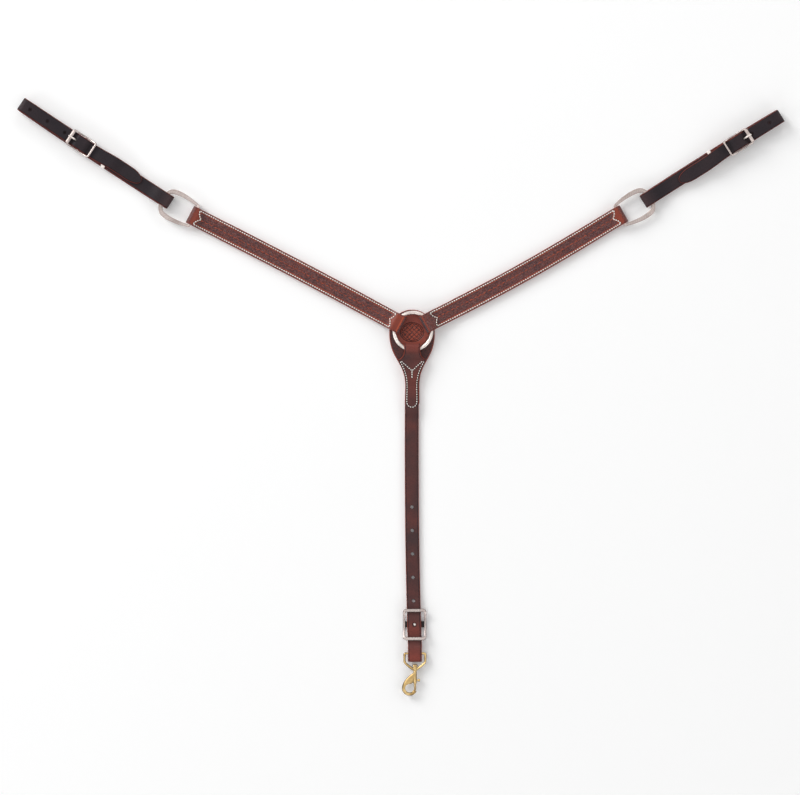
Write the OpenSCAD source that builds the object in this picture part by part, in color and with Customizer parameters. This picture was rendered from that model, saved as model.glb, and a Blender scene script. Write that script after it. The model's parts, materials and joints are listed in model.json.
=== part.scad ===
// Western breast collar, laid flat with its face up.
// The origin is the centre of the hub ring, on the plane the leather lies on.
// Left and right are as seen from above, with the tie-down strap towards -Y.

/* [Ring and shield] */
// Mean diameter of the hub ring
ring_d = 50.8; // [46:0.2:58]
// Wire diameter of the hub ring
ring_wire = 5; // [4:0.1:6]
// Radius of the shield's round top
shield_r = 31; // [30.5:0.1:36]
// Thickness of the shield leather
shield_t = 2.4; // [2:0.1:3.2]
// Drop of the shield's round top below the ring centre
shield_drop = 1.6; // [0:0.1:2.4]
// How far the shield's tail reaches below the ring centre
shield_reach = 106; // [96:1:116]

/* [Shoulder straps] */
// Width of both shoulder straps
shoulder_w = 25.4; // [22:0.1:27]
// Thickness of each shoulder layer
shoulder_t = 2.2; // [1.8:0.1:2.6]
// Left shoulder strap, fold to fold
left_shoulder_len = 327.5; // [240:0.5:380]
// Right shoulder strap, fold to fold
right_shoulder_len = 313.7; // [240:0.5:380]
// Rise of the left shoulder strap above the cross axis, degrees
left_shoulder_rise = 27.7; // [20:0.1:40]
// Rise of the right shoulder strap above the cross axis, degrees
right_shoulder_rise = 29.2; // [20:0.1:40]
// Length of the turned-under strap ends
shoulder_turn = 52; // [50:1:70]

/* [Dees] */
// Diameter of the straight bar
dee_bar = 4.5; // [3.6:0.1:5.4]
// Length from the bar's centre to the outside of the end arc
dee_len = 51.2; // [47:0.1:56]
// Outer radius of the end arc
dee_arc_r = 26; // [25:0.1:28]
// Width of the flat sides
dee_side_w = 5.6; // [4:0.1:6.4]
// Thickness of the flat sides
dee_t = 3.2; // [2.4:0.1:4]

/* [Tugs] */
// Width of both tug straps
tug_w = 19; // [16:0.1:20]
// Thickness of the tug leather
tug_t = 2.4; // [2:0.1:2.8]
// Left tug, dee fold to saddle fold
left_tug_len = 245; // [215:0.5:290]
// Right tug, dee fold to saddle fold
right_tug_len = 222; // [205:0.5:290]
// Left buckle centre from the dee fold
left_buckle_at = 145.7; // [135:0.1:158]
// Right buckle centre from the dee fold
right_buckle_at = 152.8; // [135:0.1:158]
// Left tug's turn away from its shoulder strap, degrees
left_tug_turn = 5.9; // [0:0.1:10]
// Right tug's turn away from its shoulder strap, degrees
right_tug_turn = 2.9; // [0:0.1:10]
// Length of the billet's free end past the buckle centre
billet_end = 96; // [80:1:104]
// Length of the billet's pointed tip
billet_point = 15; // [10:0.5:20]
// Inside height of the saddle loop
saddle_gap = 8.6; // [7:0.1:12]
// Diameter of the punched holes
punch_d = 4; // [3:0.1:4.6]
// Spacing of the billet holes
billet_pitch = 28.2; // [25:0.1:32]
// First billet hole on the left, past the buckle centre
left_hole_at = 27; // [22:0.1:30]
// First billet hole on the right, past the buckle centre
right_hole_at = 21.6; // [21.4:0.1:30]

/* [Tug buckles] */
// Distance from the centre bar to each end bar
buckle_half = 17.2; // [16:0.1:19]
// Diameter of the bars
buckle_bar = 3; // [2.6:0.1:3.4]
// Width of the frame's side rails
rail_w = 2.2; // [1.8:0.1:3]
// Outer diameter of the roller
roller_d = 4.9; // [4.4:0.1:5.2]
// Width of the tongue
tongue_w = 2.6; // [2:0.1:3]
// Thickness of the tongue
tongue_t = 2; // [1.6:0.1:2.2]
// Width of the keeper strip
keeper_w = 5; // [3:0.1:7]
// Thickness of the keeper strip
keeper_t = 0.8; // [0.6:0.1:1]

/* [Tie-down] */
// Width of the tie-down strap
tie_w = 19; // [17:0.1:20]
// Thickness of the tie-down leather
tie_t = 2.4; // [2:0.1:2.6]
// Width of the tie-down head where it wraps the ring
head_w = 23.6; // [22:0.1:25]
// Fold at the snap, from the ring centre
tie_len = 450.5; // [400:0.5:520]
// Lean of the tie-down strap, degrees
tie_lean = 0.35; // [-2:0.05:2]
// Spacing of the tie-down holes
tie_pitch = 32; // [28:0.1:36]
// Number of open holes above the adjuster
tie_holes = 5; // [3:1:6]

/* [Conway buckle] */
// Centre of the buckle, back from the snap fold
conway_back = 51; // [46:0.5:56]
// Length of the buckle along the strap
conway_len = 43.1; // [40:0.1:48]
// Width of the buckle across the strap
conway_w = 31.8; // [30:0.1:36]
// Thickness of the buckle's end bars
conway_t = 2.4; // [1.8:0.1:3]
// Width of the end bars along the strap
conway_end = 4.6; // [3.6:0.1:5.4]
// Width of the side rails across the strap
conway_side = 3.2; // [2.4:0.1:3.6]
// Width of the centre bar along the strap
conway_mid = 8.6; // [7:0.1:10]
// Diameter of the stud
stud_d = 3.6; // [3:0.1:4]

/* [Snap] */
// Wire diameter of the swivel loop
loop_wire = 3.1; // [2.6:0.1:3.4]
// Outer width of the swivel loop
loop_w = 31.4; // [29:0.1:36]
// Diameter of the swivel post
post_d = 3.1; // [2.6:0.1:3.4]
// Outer diameter of the bolt barrel
barrel_d = 5.4; // [5:0.1:6.4]
// Diameter of the bolt
bolt_d = 2.8; // [2.4:0.1:3]
// Travel of the bolt
bolt_travel = 7; // [4:0.1:7.4]
// Mean radius of the hook's bow
hook_r = 8.1; // [7.8:0.1:9]
// Section diameter of the hook's bow
hook_wire = 4.6; // [4:0.1:5]
// Turns of the spring behind the bolt
spring_turns = 5; // [4:1:6]
// Wire diameter of the spring
spring_wire = 0.4; // [0.3:0.05:0.45]

/* [Clearances] */
// Slack between a strap loop and the metal inside it
loop_gap = 0.3; // [0.2:0.05:0.6]
// Gap between pieces that move past each other
lay_gap = 0.3; // [0.25:0.05:0.5]
// Gap between leather layers that stay together
ply_gap = 0.1; // [0.05:0.05:0.15]
// Radial running fit of pins and rollers
run_fit = 0.05; // [0.02:0.01:0.08]
// Side play of a shoulder strap on the dee's bar
dee_play = 0.4; // [0.3:0.1:1.5]
// Side play of a tug between the buckle's rails
buckle_play = 0.4; // [0.3:0.1:1]
// Side play of the keeper round the tug
keeper_play = 0.7; // [0.1:0.1:1]

/* [Hidden] */
$fn = 48;
left = 0;
right = 1;
leather_red = "#6e3429";
leather_brown = "#54302b";
leather_dark = "#3c3436";
nickel = "#cfc8c2";
brass = "#bd9a55";
steel = "#8f9092";

shoulder_len = [left_shoulder_len, right_shoulder_len];
shoulder_dir = [180 - left_shoulder_rise, right_shoulder_rise];
tug_len = [left_tug_len, right_tug_len];
buckle_at = [left_buckle_at, right_buckle_at];
tug_turn = [-left_tug_turn, right_tug_turn];

hole_at = [left_hole_at, right_hole_at];

// Taller and wider than anything it cuts
tall = 40;
// How far joined metal runs into its neighbour
bite = 0.6;
// Length over which a strap climbs over a layer, and the flat left beside the layer
step_len = 12;
step_gap = 2;
// The same beside a bar or wire
bar_step = 10;
bar_gap = 4;

// Heights of the hub: shield, turned-under layer, ring, upper layer
ring_r = ring_d / 2;
ring_low = shield_t + lay_gap + shoulder_t / 2;
ring_z = shield_t + lay_gap + shoulder_t + loop_gap + ring_wire / 2;
ring_top = ring_z + ring_wire / 2 + loop_gap + shoulder_t / 2;
ring_slack = 1.25;
ring_fold = sqrt(pow(ring_r - ring_wire / 2, 2) - pow(shoulder_w / 2, 2)) - ring_slack - shoulder_t;
shield_rim = 7;
shield_edge = shield_r + shield_rim;
strap_drop = 24;

// Heights along a shoulder strap
lower_z = shoulder_t / 2;
upper_z = 1.5 * shoulder_t + ply_gap;
dee_z = shoulder_t + loop_gap + dee_bar / 2;
dee_top = dee_z + dee_bar / 2 + loop_gap + shoulder_t / 2;
dee_slack = 1.35;
dee_fold = dee_bar / 2 + loop_gap + shoulder_t + dee_slack;
dee_bar_len = shoulder_w + 2 * dee_play;
dee_turn = 40;
dee_pull = 9;
dee_bulge = 6;
dee_near = 13;
window_turn = 36;
window_pull = 7.4;
window_bulge = 2.2;
dee_arc_at = dee_len - dee_arc_r;

// Heights along a tug
tug_low = tug_t / 2;
tug_two = 1.5 * tug_t + ply_gap;
tug_three = 2.5 * tug_t + 2 * ply_gap;
tug_dee_top = dee_z + dee_t / 2 + loop_gap + tug_t / 2;
tug_slack = 4.75;
tug_fold = sqrt(pow(dee_arc_r - dee_side_w, 2) - pow(tug_w / 2, 2)) - tug_t - tug_slack;
saddle_top = tug_t + saddle_gap + tug_t / 2;
keeper_room = keeper_t + 2 * ply_gap;
chape_low = tug_t + keeper_room + tug_t / 2;
chape_top = chape_low + tug_t + ply_gap;
bar_z = chape_low + tug_t / 2 + loop_gap + buckle_bar / 2;
wrap_r = buckle_bar / 2 + loop_gap + tug_t / 2;
crest_z = bar_z + wrap_r + tug_t + ply_gap;
heel_z = chape_top + tug_t + ply_gap;
over_keeper_z = chape_top + tug_t / 2 + keeper_room + tug_t / 2;
end_bar_z = heel_z + tug_t / 2 + loop_gap + roller_d / 2;
toe_z = end_bar_z - roller_d / 2 - loop_gap - tug_t / 2;
buckle_in = tug_w + 2 * buckle_play;
rail_t = buckle_bar - 0.4;
keeper_back = 24;
chape_past = 5;
chape_turn = buckle_half + keeper_back + chape_past;
crest_half = 5;
tongue_from = 2.2;
tongue_to = 9;
tongue_hole_at = 5.2;
tongue_hole_len = 7;
tongue_play = 0.5;
hole_margin = 12;

// Heights and places along the tie-down
tie_low = tie_t / 2;
tie_two = 1.5 * tie_t + ply_gap;
head_low = shield_t + ply_gap + tie_t / 2;
head_two = head_low + tie_t + ply_gap;
head_r = ring_z - head_low;
head_slack = 0.4;
head_fold = sqrt(pow(ring_r - ring_wire / 2, 2) - pow(head_w / 2, 2)) - head_slack - tie_t;
head_turn = 62;
head_inset = 0.4;
head_waist = 2.4;
flare_len = 8.5;
conway_at = tie_len - conway_back;
conway_lift = 1.6;
conway_corner = 5;
conway_flat = 0.8;
stud_play = 0.4;
conway_bar_z = tie_two + tie_t / 2 + loop_gap;
tie_turn_at = conway_at - conway_len / 2 - step_gap;
snap_z = tie_t + loop_gap + loop_wire / 2;
snap_top = snap_z + loop_wire / 2 + loop_gap + tie_t / 2;
snap_fold_r = (snap_top - tie_low) / 2;
loop_slack = 7.35;
loop_bar_at = tie_len - snap_fold_r - tie_t / 2 - loop_slack;

// Places along the snap, from the ring centre
loop_straight = 10.1;
loop_side = loop_bar_at + loop_straight;
arm_pull = 3.6;
arm_in = 4.7;
arm_back = 2.4;
loop_depth = 17.2;
boss_at = loop_bar_at + loop_depth;
boss_len = 6.8;
boss_d = post_d + 3;
head_d = min(boss_d + 2.1, 2 * snap_z);
head_t = 2.4;
head_at = boss_at - lay_gap - head_t;
barrel_at = boss_at + boss_len + lay_gap;
barrel_len = 16.6;
knob_at = barrel_at + 12.2;
knob_d = 4;
knob_t = 3;
knob_gap = 1.2;
stem_d = 1.8;
stem_play = 0.2;
bolt_heel = 1.4;
bolt_at = knob_at - bolt_heel;
spring_rest = 0.3;
bore_at = bolt_at - bolt_travel - spring_turns * spring_wire - spring_rest;
hook_past = 6.4;
hook_at = barrel_at + barrel_len + hook_past;
hook_side = -7.5;
hook_start = 170;
hook_sweep = 258;
leaf_t = 4;
leaf_at = barrel_at + 1.4;
leaf_pull = 4.4;
leaf_bite = 0.6;
leaf_turn = 158;
bolt_past = 3.2;
bolt_end = hook_at + bolt_past;
bolt_bore = bolt_d / 2 + run_fit;
spring_play = 0.15;
spring_r = bolt_bore - spring_play - spring_wire / 2;

// A smooth step from point a to point b
function ramp(a, b, steps = 8) = [
    for (i = [0 : steps])
        let (s = i / steps)
        [a[0] + (b[0] - a[0]) * s, a[1] + (b[1] - a[1]) * s * s * (3 - 2 * s)]
];

// An arc about c with radius r, from angle a to angle b
function arc(c, r, a, b, steps = 12) = [
    for (i = [0 : steps])
        let (t = a + (b - a) * i / steps)
        [c[0] + r * cos(t), c[1] + r * sin(t)]
];

// A cubic curve with end points a and d
function curve(a, b, c, d, steps = 14) = [
    for (i = [0 : steps])
        let (t = i / steps, k = 1 - t)
        k * k * k * a + 3 * k * k * t * b + 3 * k * t * t * c + t * t * t * d
];

function unit(v) = v / norm(v);
function normal(a, b) = let (d = unit(b - a)) [-d[1], d[0]];

// The side of a path at distance d, mitred at its corners
function side(path, d) = [
    for (i = [0 : len(path) - 1])
        let (
            last = len(path) - 1,
            before = normal(path[max(i - 1, 0)], path[max(i, 1)]),
            after = normal(path[min(i, last - 1)], path[min(i + 1, last)]),
            n = unit(before + after)
        )
        path[i] + n * d / (n * before)
];

// Reverses a list of points
function back(list) = [for (i = [len(list) - 1 : -1 : 0]) list[i]];

// The same points on the other side of the strap's centre line
function mirrored(list) = [for (p = back(list)) [p[0], -p[1]]];

// Drops points that repeat the one before them
function clean(path) = [
    for (i = [0 : len(path) - 1])
        if (i == 0 || norm(path[i] - path[max(i - 1, 0)]) > 0.001) path[i]
];

// A strip of leather or metal of thickness t and width w along a side-view path
module strip(path, t, w) {
    tidy = clean(path);
    rotate([90, 0, 0])
        linear_extrude(w, center = true)
            polygon(concat(side(tidy, t / 2), back(side(tidy, -t / 2))));
}

// A rod across the strap
module cross_rod(at, z, d, w) {
    translate([at, 0, z])
        rotate([90, 0, 0])
            cylinder(h = w, d = d, center = true);
}

// A rod along the strap
module long_rod(at, z, d, length, shift = 0) {
    translate([at, shift, z])
        rotate([0, 90, 0])
            cylinder(h = length, d = d);
}

// A punched hole through everything at one place
module punch(at, d) {
    translate([at, 0, -1])
        cylinder(h = tall, d = d);
}

// Frames of the straps: the first axis runs away from the hub
module shoulder_frame(s) {
    rotate([0, 0, shoulder_dir[s]]) children();
}

function dee_at(s) = ring_fold + shoulder_len[s] - dee_fold;

module dee_frame(s) {
    shoulder_frame(s) translate([dee_at(s), 0, 0]) children();
}

module tug_frame(s) {
    dee_frame(s) translate([dee_arc_at, 0, 0]) rotate([0, 0, tug_turn[s]]) children();
}

module tie_frame() {
    rotate([0, 0, tie_lean - 90]) children();
}

// Where each tug's buckle, saddle fold and tip lie in the tug frame
function buckle_p(s) = tug_fold + buckle_at[s];
function saddle_p(s) = tug_fold + tug_len[s];
function tip_p(s) = buckle_p(s) - billet_end;

// Half the shield's outline below the hub, and the point of it where the tie-down's head begins
shield_neck = 76;
shield_pull = 40;
shield_side = curve(
    [shield_drop, shield_r], [shield_pull, shield_r],
    [shield_pull, tie_w / 2], [shield_neck, tie_w / 2]
);
head_join = 7;

module ring_shield() {
    tail = shield_reach - tie_w / 2;
    outline = concat(
        arc([shield_drop, 0], shield_r, 270, 90, 32),
        shield_side,
        arc([tail, 0], tie_w / 2, 90, -90, 16),
        mirrored(shield_side)
    );
    color(leather_brown)
        tie_frame()
            linear_extrude(shield_t)
                polygon(clean(outline));
}

module centre_ring() {
    color(nickel)
        translate([0, 0, ring_z])
            rotate_extrude($fn = 96)
                translate([ring_r, 0]) circle(d = ring_wire);
}

// Side view of a shoulder strap's face layer, wrapped at both ends
function shoulder_path(s) =
    let (
        near = ring_fold + ring_top - ring_z + shoulder_t / 2,
        far = ring_fold + shoulder_len[s],
        bar = dee_at(s),
        wrap = dee_top - dee_z,
        two_z = ring_low + shoulder_t + ply_gap,
        bend = ring_r + ring_wire / 2
    )
    concat(
        [[ring_fold + shoulder_turn, lower_z]],
        ramp([shield_edge + strap_drop, lower_z], [shield_edge, ring_low]),
        arc([near, ring_z], ring_top - ring_z, 270, 90),
        ramp([bend - 1, ring_top], [shield_edge, two_z]),
        ramp([shield_edge, two_z], [shield_edge + strap_drop, upper_z]),
        ramp([bar - bar_gap - bar_step, upper_z], [bar - bar_gap, dee_top]),
        arc([far - wrap - shoulder_t / 2, dee_z], wrap, 90, -90),
        [[far - shoulder_turn, lower_z]]
    );

module shoulder_face(s) {
    color(leather_red)
        shoulder_frame(s)
            strip(shoulder_path(s), shoulder_t, shoulder_w);
}

module shoulder_lining(s) {
    from = ring_fold + shoulder_turn + ply_gap;
    to = ring_fold + shoulder_len[s] - shoulder_turn - ply_gap;
    color(leather_red)
        shoulder_frame(s)
            translate([from, -shoulder_w / 2, 0])
                cube([to - from, shoulder_w, shoulder_t]);
}

// Half the outside and half the window of a dee
function dee_outer() =
    let (
        half = dee_bar_len / 2 + dee_side_w / 2,
        a = dee_turn,
        end = [dee_arc_at + dee_arc_r * cos(a), dee_arc_r * sin(a)],
        pull = end + dee_pull * [-sin(a), cos(a)]
    )
    concat(
        arc([dee_arc_at, 0], dee_arc_r, 0, a, 8),
        curve(end, pull, [dee_near, half + dee_bulge], [-dee_bar / 2, half])
    );

function dee_window() =
    let (
        half = dee_bar_len / 2,
        r = dee_arc_r - dee_side_w,
        a = window_turn,
        end = [dee_arc_at + r * cos(a), r * sin(a)],
        pull = end + window_pull * [-sin(a), cos(a)]
    )
    concat(
        arc([dee_arc_at, 0], r, 0, a, 8),
        curve(end, pull, [dee_near, half + window_bulge], [0, half]),
        [[-dee_bar, half]]
    );

module dee(s) {
    outside = clean(concat(mirrored(dee_outer()), dee_outer()));
    window = clean(concat(mirrored(dee_window()), dee_window()));
    color(nickel)
        dee_frame(s) {
            difference() {
                translate([0, 0, dee_z - dee_t / 2])
                    linear_extrude(dee_t)
                        polygon(outside);
                translate([0, 0, dee_z - dee_t])
                    linear_extrude(2 * dee_t)
                        polygon(window);
            }
            cross_rod(0, dee_z, dee_bar, dee_bar_len + dee_side_w);
        }
}

// Side view of a tug: chape, dee fold, lower run, saddle fold and billet
function tug_path(s) =
    let (
        b = buckle_p(s),
        far = saddle_p(s),
        heel = b - buckle_half,
        turn = b - chape_turn,
        dee_r = (tug_dee_top - tug_low) / 2,
        saddle_r = (saddle_top - tug_low) / 2,
        clear = dee_arc_r + step_gap
    )
    concat(
        [[turn, chape_low]],
        arc([b, bar_z], wrap_r, -90, 90),
        ramp([b - 1, bar_z + wrap_r], [b - 1 - bar_step, chape_top]),
        ramp([turn - 1, chape_top], [turn - 1 - step_gap - step_len, tug_two]),
        ramp([clear + step_len, tug_two], [clear, tug_dee_top]),
        arc([tug_fold + dee_r + tug_t / 2, tug_low + dee_r], dee_r, 90, 270),
        arc([far - saddle_r - tug_t / 2, tug_low + saddle_r], saddle_r, -90, 90),
        ramp([far - saddle_r - bar_gap, saddle_top], [b + buckle_half + bar_gap + 1, toe_z]),
        ramp([b + buckle_half - bar_gap, toe_z], [b + crest_half, crest_z]),
        ramp([b - crest_half, crest_z], [heel + bar_gap, heel_z]),
        ramp([heel - bar_gap, heel_z], [heel - bar_gap - bar_step, over_keeper_z]),
        ramp([turn - step_gap, over_keeper_z], [turn - step_gap - 1.5 * step_len, tug_three]),
        [[tip_p(s), tug_three]]
    );

// The corners cut away to leave the billet's rounded point
module point_corners(s) {
    half = tug_w / 2;
    point = curve([billet_point, half], [billet_point / 3, half], [0, half / 2], [0, 0], 10);
    translate([tip_p(s), 0, tug_three - tug_t / 2 - ply_gap / 2])
        linear_extrude(2 * tug_t)
            for (flip = [0, 1])
                mirror([0, flip])
                    polygon(concat(point, [[-1, 0], [-1, half + 1], [billet_point, half + 1]]));
}

// A slot across the middle of the strap, from one height to another
module slot(at, width, length, from, to) {
    translate([at - length / 2, -width / 2, from])
        cube([length, width, to - from]);
}

module tug_strap(s) {
    b = buckle_p(s);
    wrap_top = bar_z + wrap_r + tug_t / 2 + ply_gap / 2;
    last = floor((saddle_p(s) - b - hole_at[s] - hole_margin) / billet_pitch);
    hole_w = tongue_w + 2 * tongue_play;
    color(leather_dark)
        tug_frame(s)
            difference() {
                strip(tug_path(s), tug_t, tug_w);
                point_corners(s);
                slot(b, hole_w, 2 * (wrap_r + tug_t / 2 + loop_gap), tug_t + ply_gap / 2, wrap_top);
                slot(b + tongue_hole_at, hole_w, tongue_hole_len, bar_z, crest_z + tug_t);
                for (i = [0 : last])
                    translate([b + hole_at[s] + i * billet_pitch, 0, tug_t + 1])
                        cylinder(h = tall, d = punch_d);
            }
}

// Side rail of a buckle frame, arched up to the end bars
function rail_path(half, low, high) = [
    for (i = [-8 : 8])
        let (x = i / 8)
        [half * x, low + (high - low) * x * x]
];

module buckle_frame(s) {
    color(nickel)
        tug_frame(s)
            translate([buckle_p(s), 0, 0]) {
                for (v = [-1, 1])
                    translate([0, v * (buckle_in + rail_w) / 2, 0])
                        strip(rail_path(buckle_half, bar_z, end_bar_z), rail_t, rail_w);
                for (x = [-buckle_half, buckle_half])
                    cross_rod(x, end_bar_z, buckle_bar, buckle_in + 2 * rail_w);
                cross_rod(0, bar_z, buckle_bar, buckle_in + 2 * rail_w);
            }
}

module buckle_roller(s) {
    color(nickel)
        tug_frame(s)
            difference() {
                cross_rod(buckle_p(s) + buckle_half, end_bar_z, roller_d, buckle_in - 2 * lay_gap);
                cross_rod(buckle_p(s) + buckle_half, end_bar_z, buckle_bar + 2 * run_fit, buckle_in + 2);
            }
}

// The tongue rises from its eye, comes up through the billet and rests on the roller
module buckle_tongue(s) {
    rest_z = end_bar_z + roller_d / 2 + lay_gap / 2 + tongue_t / 2;
    root_z = bar_z + buckle_bar / 2 + tongue_t / 2 + lay_gap;
    eye = buckle_bar + 2 * tongue_t;
    rise = concat(
        [[0, root_z]],
        ramp([tongue_from, root_z], [tongue_to, rest_z]),
        [[buckle_half + roller_d / 2, rest_z]]
    );
    color(nickel)
        tug_frame(s)
            translate([buckle_p(s), 0, 0])
                difference() {
                    union() {
                        cross_rod(0, bar_z, eye, tongue_w);
                        strip(rise, tongue_t, tongue_w);
                    }
                    cross_rod(0, bar_z, buckle_bar + 2 * run_fit, 2 * tongue_w);
                }
}

module chape_keeper(s) {
    high = 2 * tug_t + 3 * ply_gap;
    low = chape_low - tug_t / 2;
    half = tug_w / 2 + keeper_play;
    color(nickel)
        tug_frame(s)
            translate([buckle_p(s) - buckle_half - keeper_back - keeper_w / 2, 0, low - ply_gap])
                difference() {
                    translate([0, -half - keeper_t, -keeper_t])
                        cube([keeper_w, 2 * (half + keeper_t), high + 2 * keeper_t]);
                    translate([-1, -half, 0])
                        cube([keeper_w + 2, 2 * half, high]);
                }
}

// Side view of the tie-down: head, ring fold, long run, snap fold and turned-back end
function tie_path() =
    let (
        c = conway_at,
        lift = conway_lift + ply_gap,
        flat = conway_mid / 2 + conway_flat,
        foot = conway_len / 2 - conway_end - step_gap,
        bend = ring_r + ring_wire / 2,
        fold = tie_len - snap_fold_r - tie_t / 2
    )
    concat(
        [[head_turn, head_low]],
        arc([head_fold + head_r + tie_t / 2, ring_z], head_r, 270, 90),
        ramp([bend - 1, ring_z + head_r], [bend + step_len, head_two]),
        ramp([head_turn + step_gap, head_two], [head_turn + step_gap + step_len, head_low]),
        ramp([shield_reach + step_gap, head_low], [shield_reach + step_gap + step_len, tie_low]),
        ramp([tie_turn_at - step_gap - step_len, tie_low], [tie_turn_at - step_gap, tie_two]),
        ramp([c - foot, tie_two], [c - flat, tie_two + lift]),
        ramp([c + flat, tie_two + lift], [c + foot, tie_two]),
        ramp([loop_bar_at - bar_gap - bar_step, tie_two], [loop_bar_at - bar_gap, snap_top]),
        arc([fold, tie_low + snap_fold_r], snap_fold_r, 90, -90),
        ramp([c + foot, tie_low], [c + flat, tie_low + lift]),
        ramp([c - flat, tie_low + lift], [c - foot, tie_low]),
        [[tie_turn_at, tie_low]]
    );

// Half the tie-down's outline from above: flared head, then the plain strap
function tie_outline() =
    let (
        edge = [for (i = [head_join : len(shield_side) - 1]) shield_side[i] - [0, head_inset]],
        start = edge[0],
        flare = curve(
            [head_fold, head_w / 2], [start[0] - flare_len, head_w / 2 - head_waist],
            [start[0] - flare_len / 2, head_w / 2], start, 10
        )
    )
    concat(
        [[head_fold - 1, head_w / 2]],
        flare,
        edge,
        [[shield_reach - step_len, tie_w / 2], [tie_len + 1, tie_w / 2]]
    );

module tie_down_strap() {
    outline = tie_outline();
    color(leather_brown)
        tie_frame()
            difference() {
                intersection() {
                    strip(tie_path(), tie_t, 2 * shield_r);
                    linear_extrude(tall)
                        polygon(clean(concat(outline, mirrored(outline))));
                }
                for (i = [0 : tie_holes])
                    punch(conway_at - i * tie_pitch, stud_d + 2 * stud_play);
            }
}

// Plan of the Conway buckle with round corners
module round_plate(length, width, r) {
    square([length - 2 * r, width], center = true);
    square([length, width - 2 * r], center = true);
    for (x = [-1, 1], y = [-1, 1])
        translate([x * (length / 2 - r), y * (width / 2 - r)]) circle(r = r);
}

module conway_buckle() {
    inner_len = conway_len - 2 * conway_end;
    inner_w = conway_w - 2 * conway_side;
    rail_half = conway_len / 2 - conway_end + bite;
    color(nickel)
        tie_frame()
            translate([conway_at, 0, 0]) {
                translate([0, 0, conway_bar_z])
                    linear_extrude(conway_t)
                        difference() {
                            round_plate(conway_len, conway_w, conway_corner);
                            square([inner_len, inner_w], center = true);
                            square([inner_len, 2 * conway_w], center = true);
                        }
                for (v = [-1, 1])
                    translate([0, v * (conway_w - conway_side) / 2, 0])
                        strip(
                            rail_path(rail_half, conway_t / 2, conway_bar_z + conway_t / 2),
                            conway_t, conway_side
                        );
                translate([-conway_mid / 2, -conway_w / 2, 0])
                    cube([conway_mid, conway_w, conway_lift]);
                cylinder(h = tie_two + tie_t + conway_lift, d = stud_d);
            }
}

// The swivel loop: a bar through the strap fold, two bowed arms and a boss with a bore
module snap_swivel_loop() {
    half = (loop_w - loop_wire) / 2;
    arm = concat(
        [[loop_bar_at - loop_wire / 2 - bite, half]],
        curve(
            [loop_side, half], [loop_side + arm_pull, half],
            [boss_at - bite, half - arm_in], [boss_at + boss_len - arm_back, boss_d / 2 - bite]
        )
    );
    outer = side(arm, loop_wire / 2);
    inner = back(side(arm, -loop_wire / 2));
    color(brass)
        tie_frame()
            difference() {
                union() {
                    cross_rod(loop_bar_at, snap_z, loop_wire, 2 * half);
                    for (flip = [0, 1])
                        mirror([0, flip, 0])
                            translate([0, 0, snap_z - loop_wire / 2])
                                linear_extrude(loop_wire)
                                    polygon(concat(outer, inner));
                    long_rod(boss_at, snap_z, boss_d, boss_len);
                }
                long_rod(boss_at - 1, snap_z, post_d + 2 * run_fit, boss_len + 2);
            }
}

// Barrel, peened swivel post, leaf and hook of the snap
module snap_body() {
    outer = hook_side - hook_r - leaf_bite;
    leaf = concat(
        [[leaf_at, 0]],
        curve(
            [leaf_at, leaf_bite - barrel_d / 2], [leaf_at + leaf_pull, hook_side],
            [hook_at - 2 * leaf_pull, outer], [hook_at, outer]
        ),
        arc([hook_at, hook_side], hook_r - leaf_bite, 270, leaf_turn),
        [[barrel_at + barrel_len - 2 * leaf_bite, 0]]
    );
    stem_w = stem_d + 2 * stem_play;
    color(brass)
        tie_frame()
            difference() {
                union() {
                    long_rod(head_at, snap_z, post_d, barrel_at - head_at + 1);
                    long_rod(head_at, snap_z, head_d, head_t);
                    long_rod(barrel_at, snap_z, barrel_d, barrel_len);
                    translate([0, 0, snap_z - leaf_t / 2])
                        linear_extrude(leaf_t) polygon(leaf);
                    translate([hook_at, hook_side, snap_z])
                        rotate([0, 0, hook_start])
                            rotate_extrude(angle = hook_sweep)
                                translate([hook_r, 0]) circle(d = hook_wire);
                }
                long_rod(bore_at, snap_z, 2 * bolt_bore, barrel_len);
                translate([knob_at - bolt_travel - stem_w / 2, 0, snap_z - stem_w / 2])
                    cube([bolt_travel + stem_w, barrel_d, stem_w]);
                translate([barrel_at + barrel_len, -bolt_d / 2 - lay_gap, snap_z - tall / 2])
                    cube([bolt_end + lay_gap - barrel_at - barrel_len, tall, tall]);
            }
}

// The spring bolt with its thumb knob
module snap_bolt() {
    color(brass)
        tie_frame() {
            long_rod(bolt_at, snap_z, bolt_d, bolt_end - bolt_at);
            translate([knob_at, 0, snap_z])
                rotate([-90, 0, 0]) {
                    cylinder(h = barrel_d / 2 + knob_t, d = stem_d);
                    translate([0, 0, barrel_d / 2 + knob_gap]) cylinder(h = knob_t, d = knob_d);
                }
        }
}

// Ring number i of the spring's wire
function spring_ring(i, per_turn, sides, pitch) =
    let (a = 360 * i / per_turn, x = pitch * i / per_turn)
    [
        for (k = [0 : sides - 1])
            let (
                b = 360 * k / sides,
                r = spring_r + spring_wire / 2 * cos(b)
            )
            [x + spring_wire / 2 * sin(b), r * cos(a), r * sin(a)]
    ];

// The return spring in the barrel behind the bolt
module snap_spring() {
    per_turn = 12;
    sides = 6;
    rings = spring_turns * per_turn;
    room = bolt_at - bore_at - 2 * run_fit - spring_wire;
    points = [
        for (i = [0 : rings])
            each spring_ring(i, per_turn, sides, room / spring_turns)
    ];
    walls = [
        for (i = [0 : rings - 1], k = [0 : sides - 1])
            let (a = i * sides + k, b = i * sides + (k + 1) % sides)
            each [[a, b, b + sides], [a, b + sides, a + sides]]
    ];
    ends = [
        [for (k = [sides - 1 : -1 : 0]) k],
        [for (k = [0 : sides - 1]) rings * sides + k]
    ];
    color(steel)
        tie_frame()
            translate([bore_at + run_fit + spring_wire / 2, 0, snap_z])
                polyhedron(points, concat(walls, ends));
}

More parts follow.
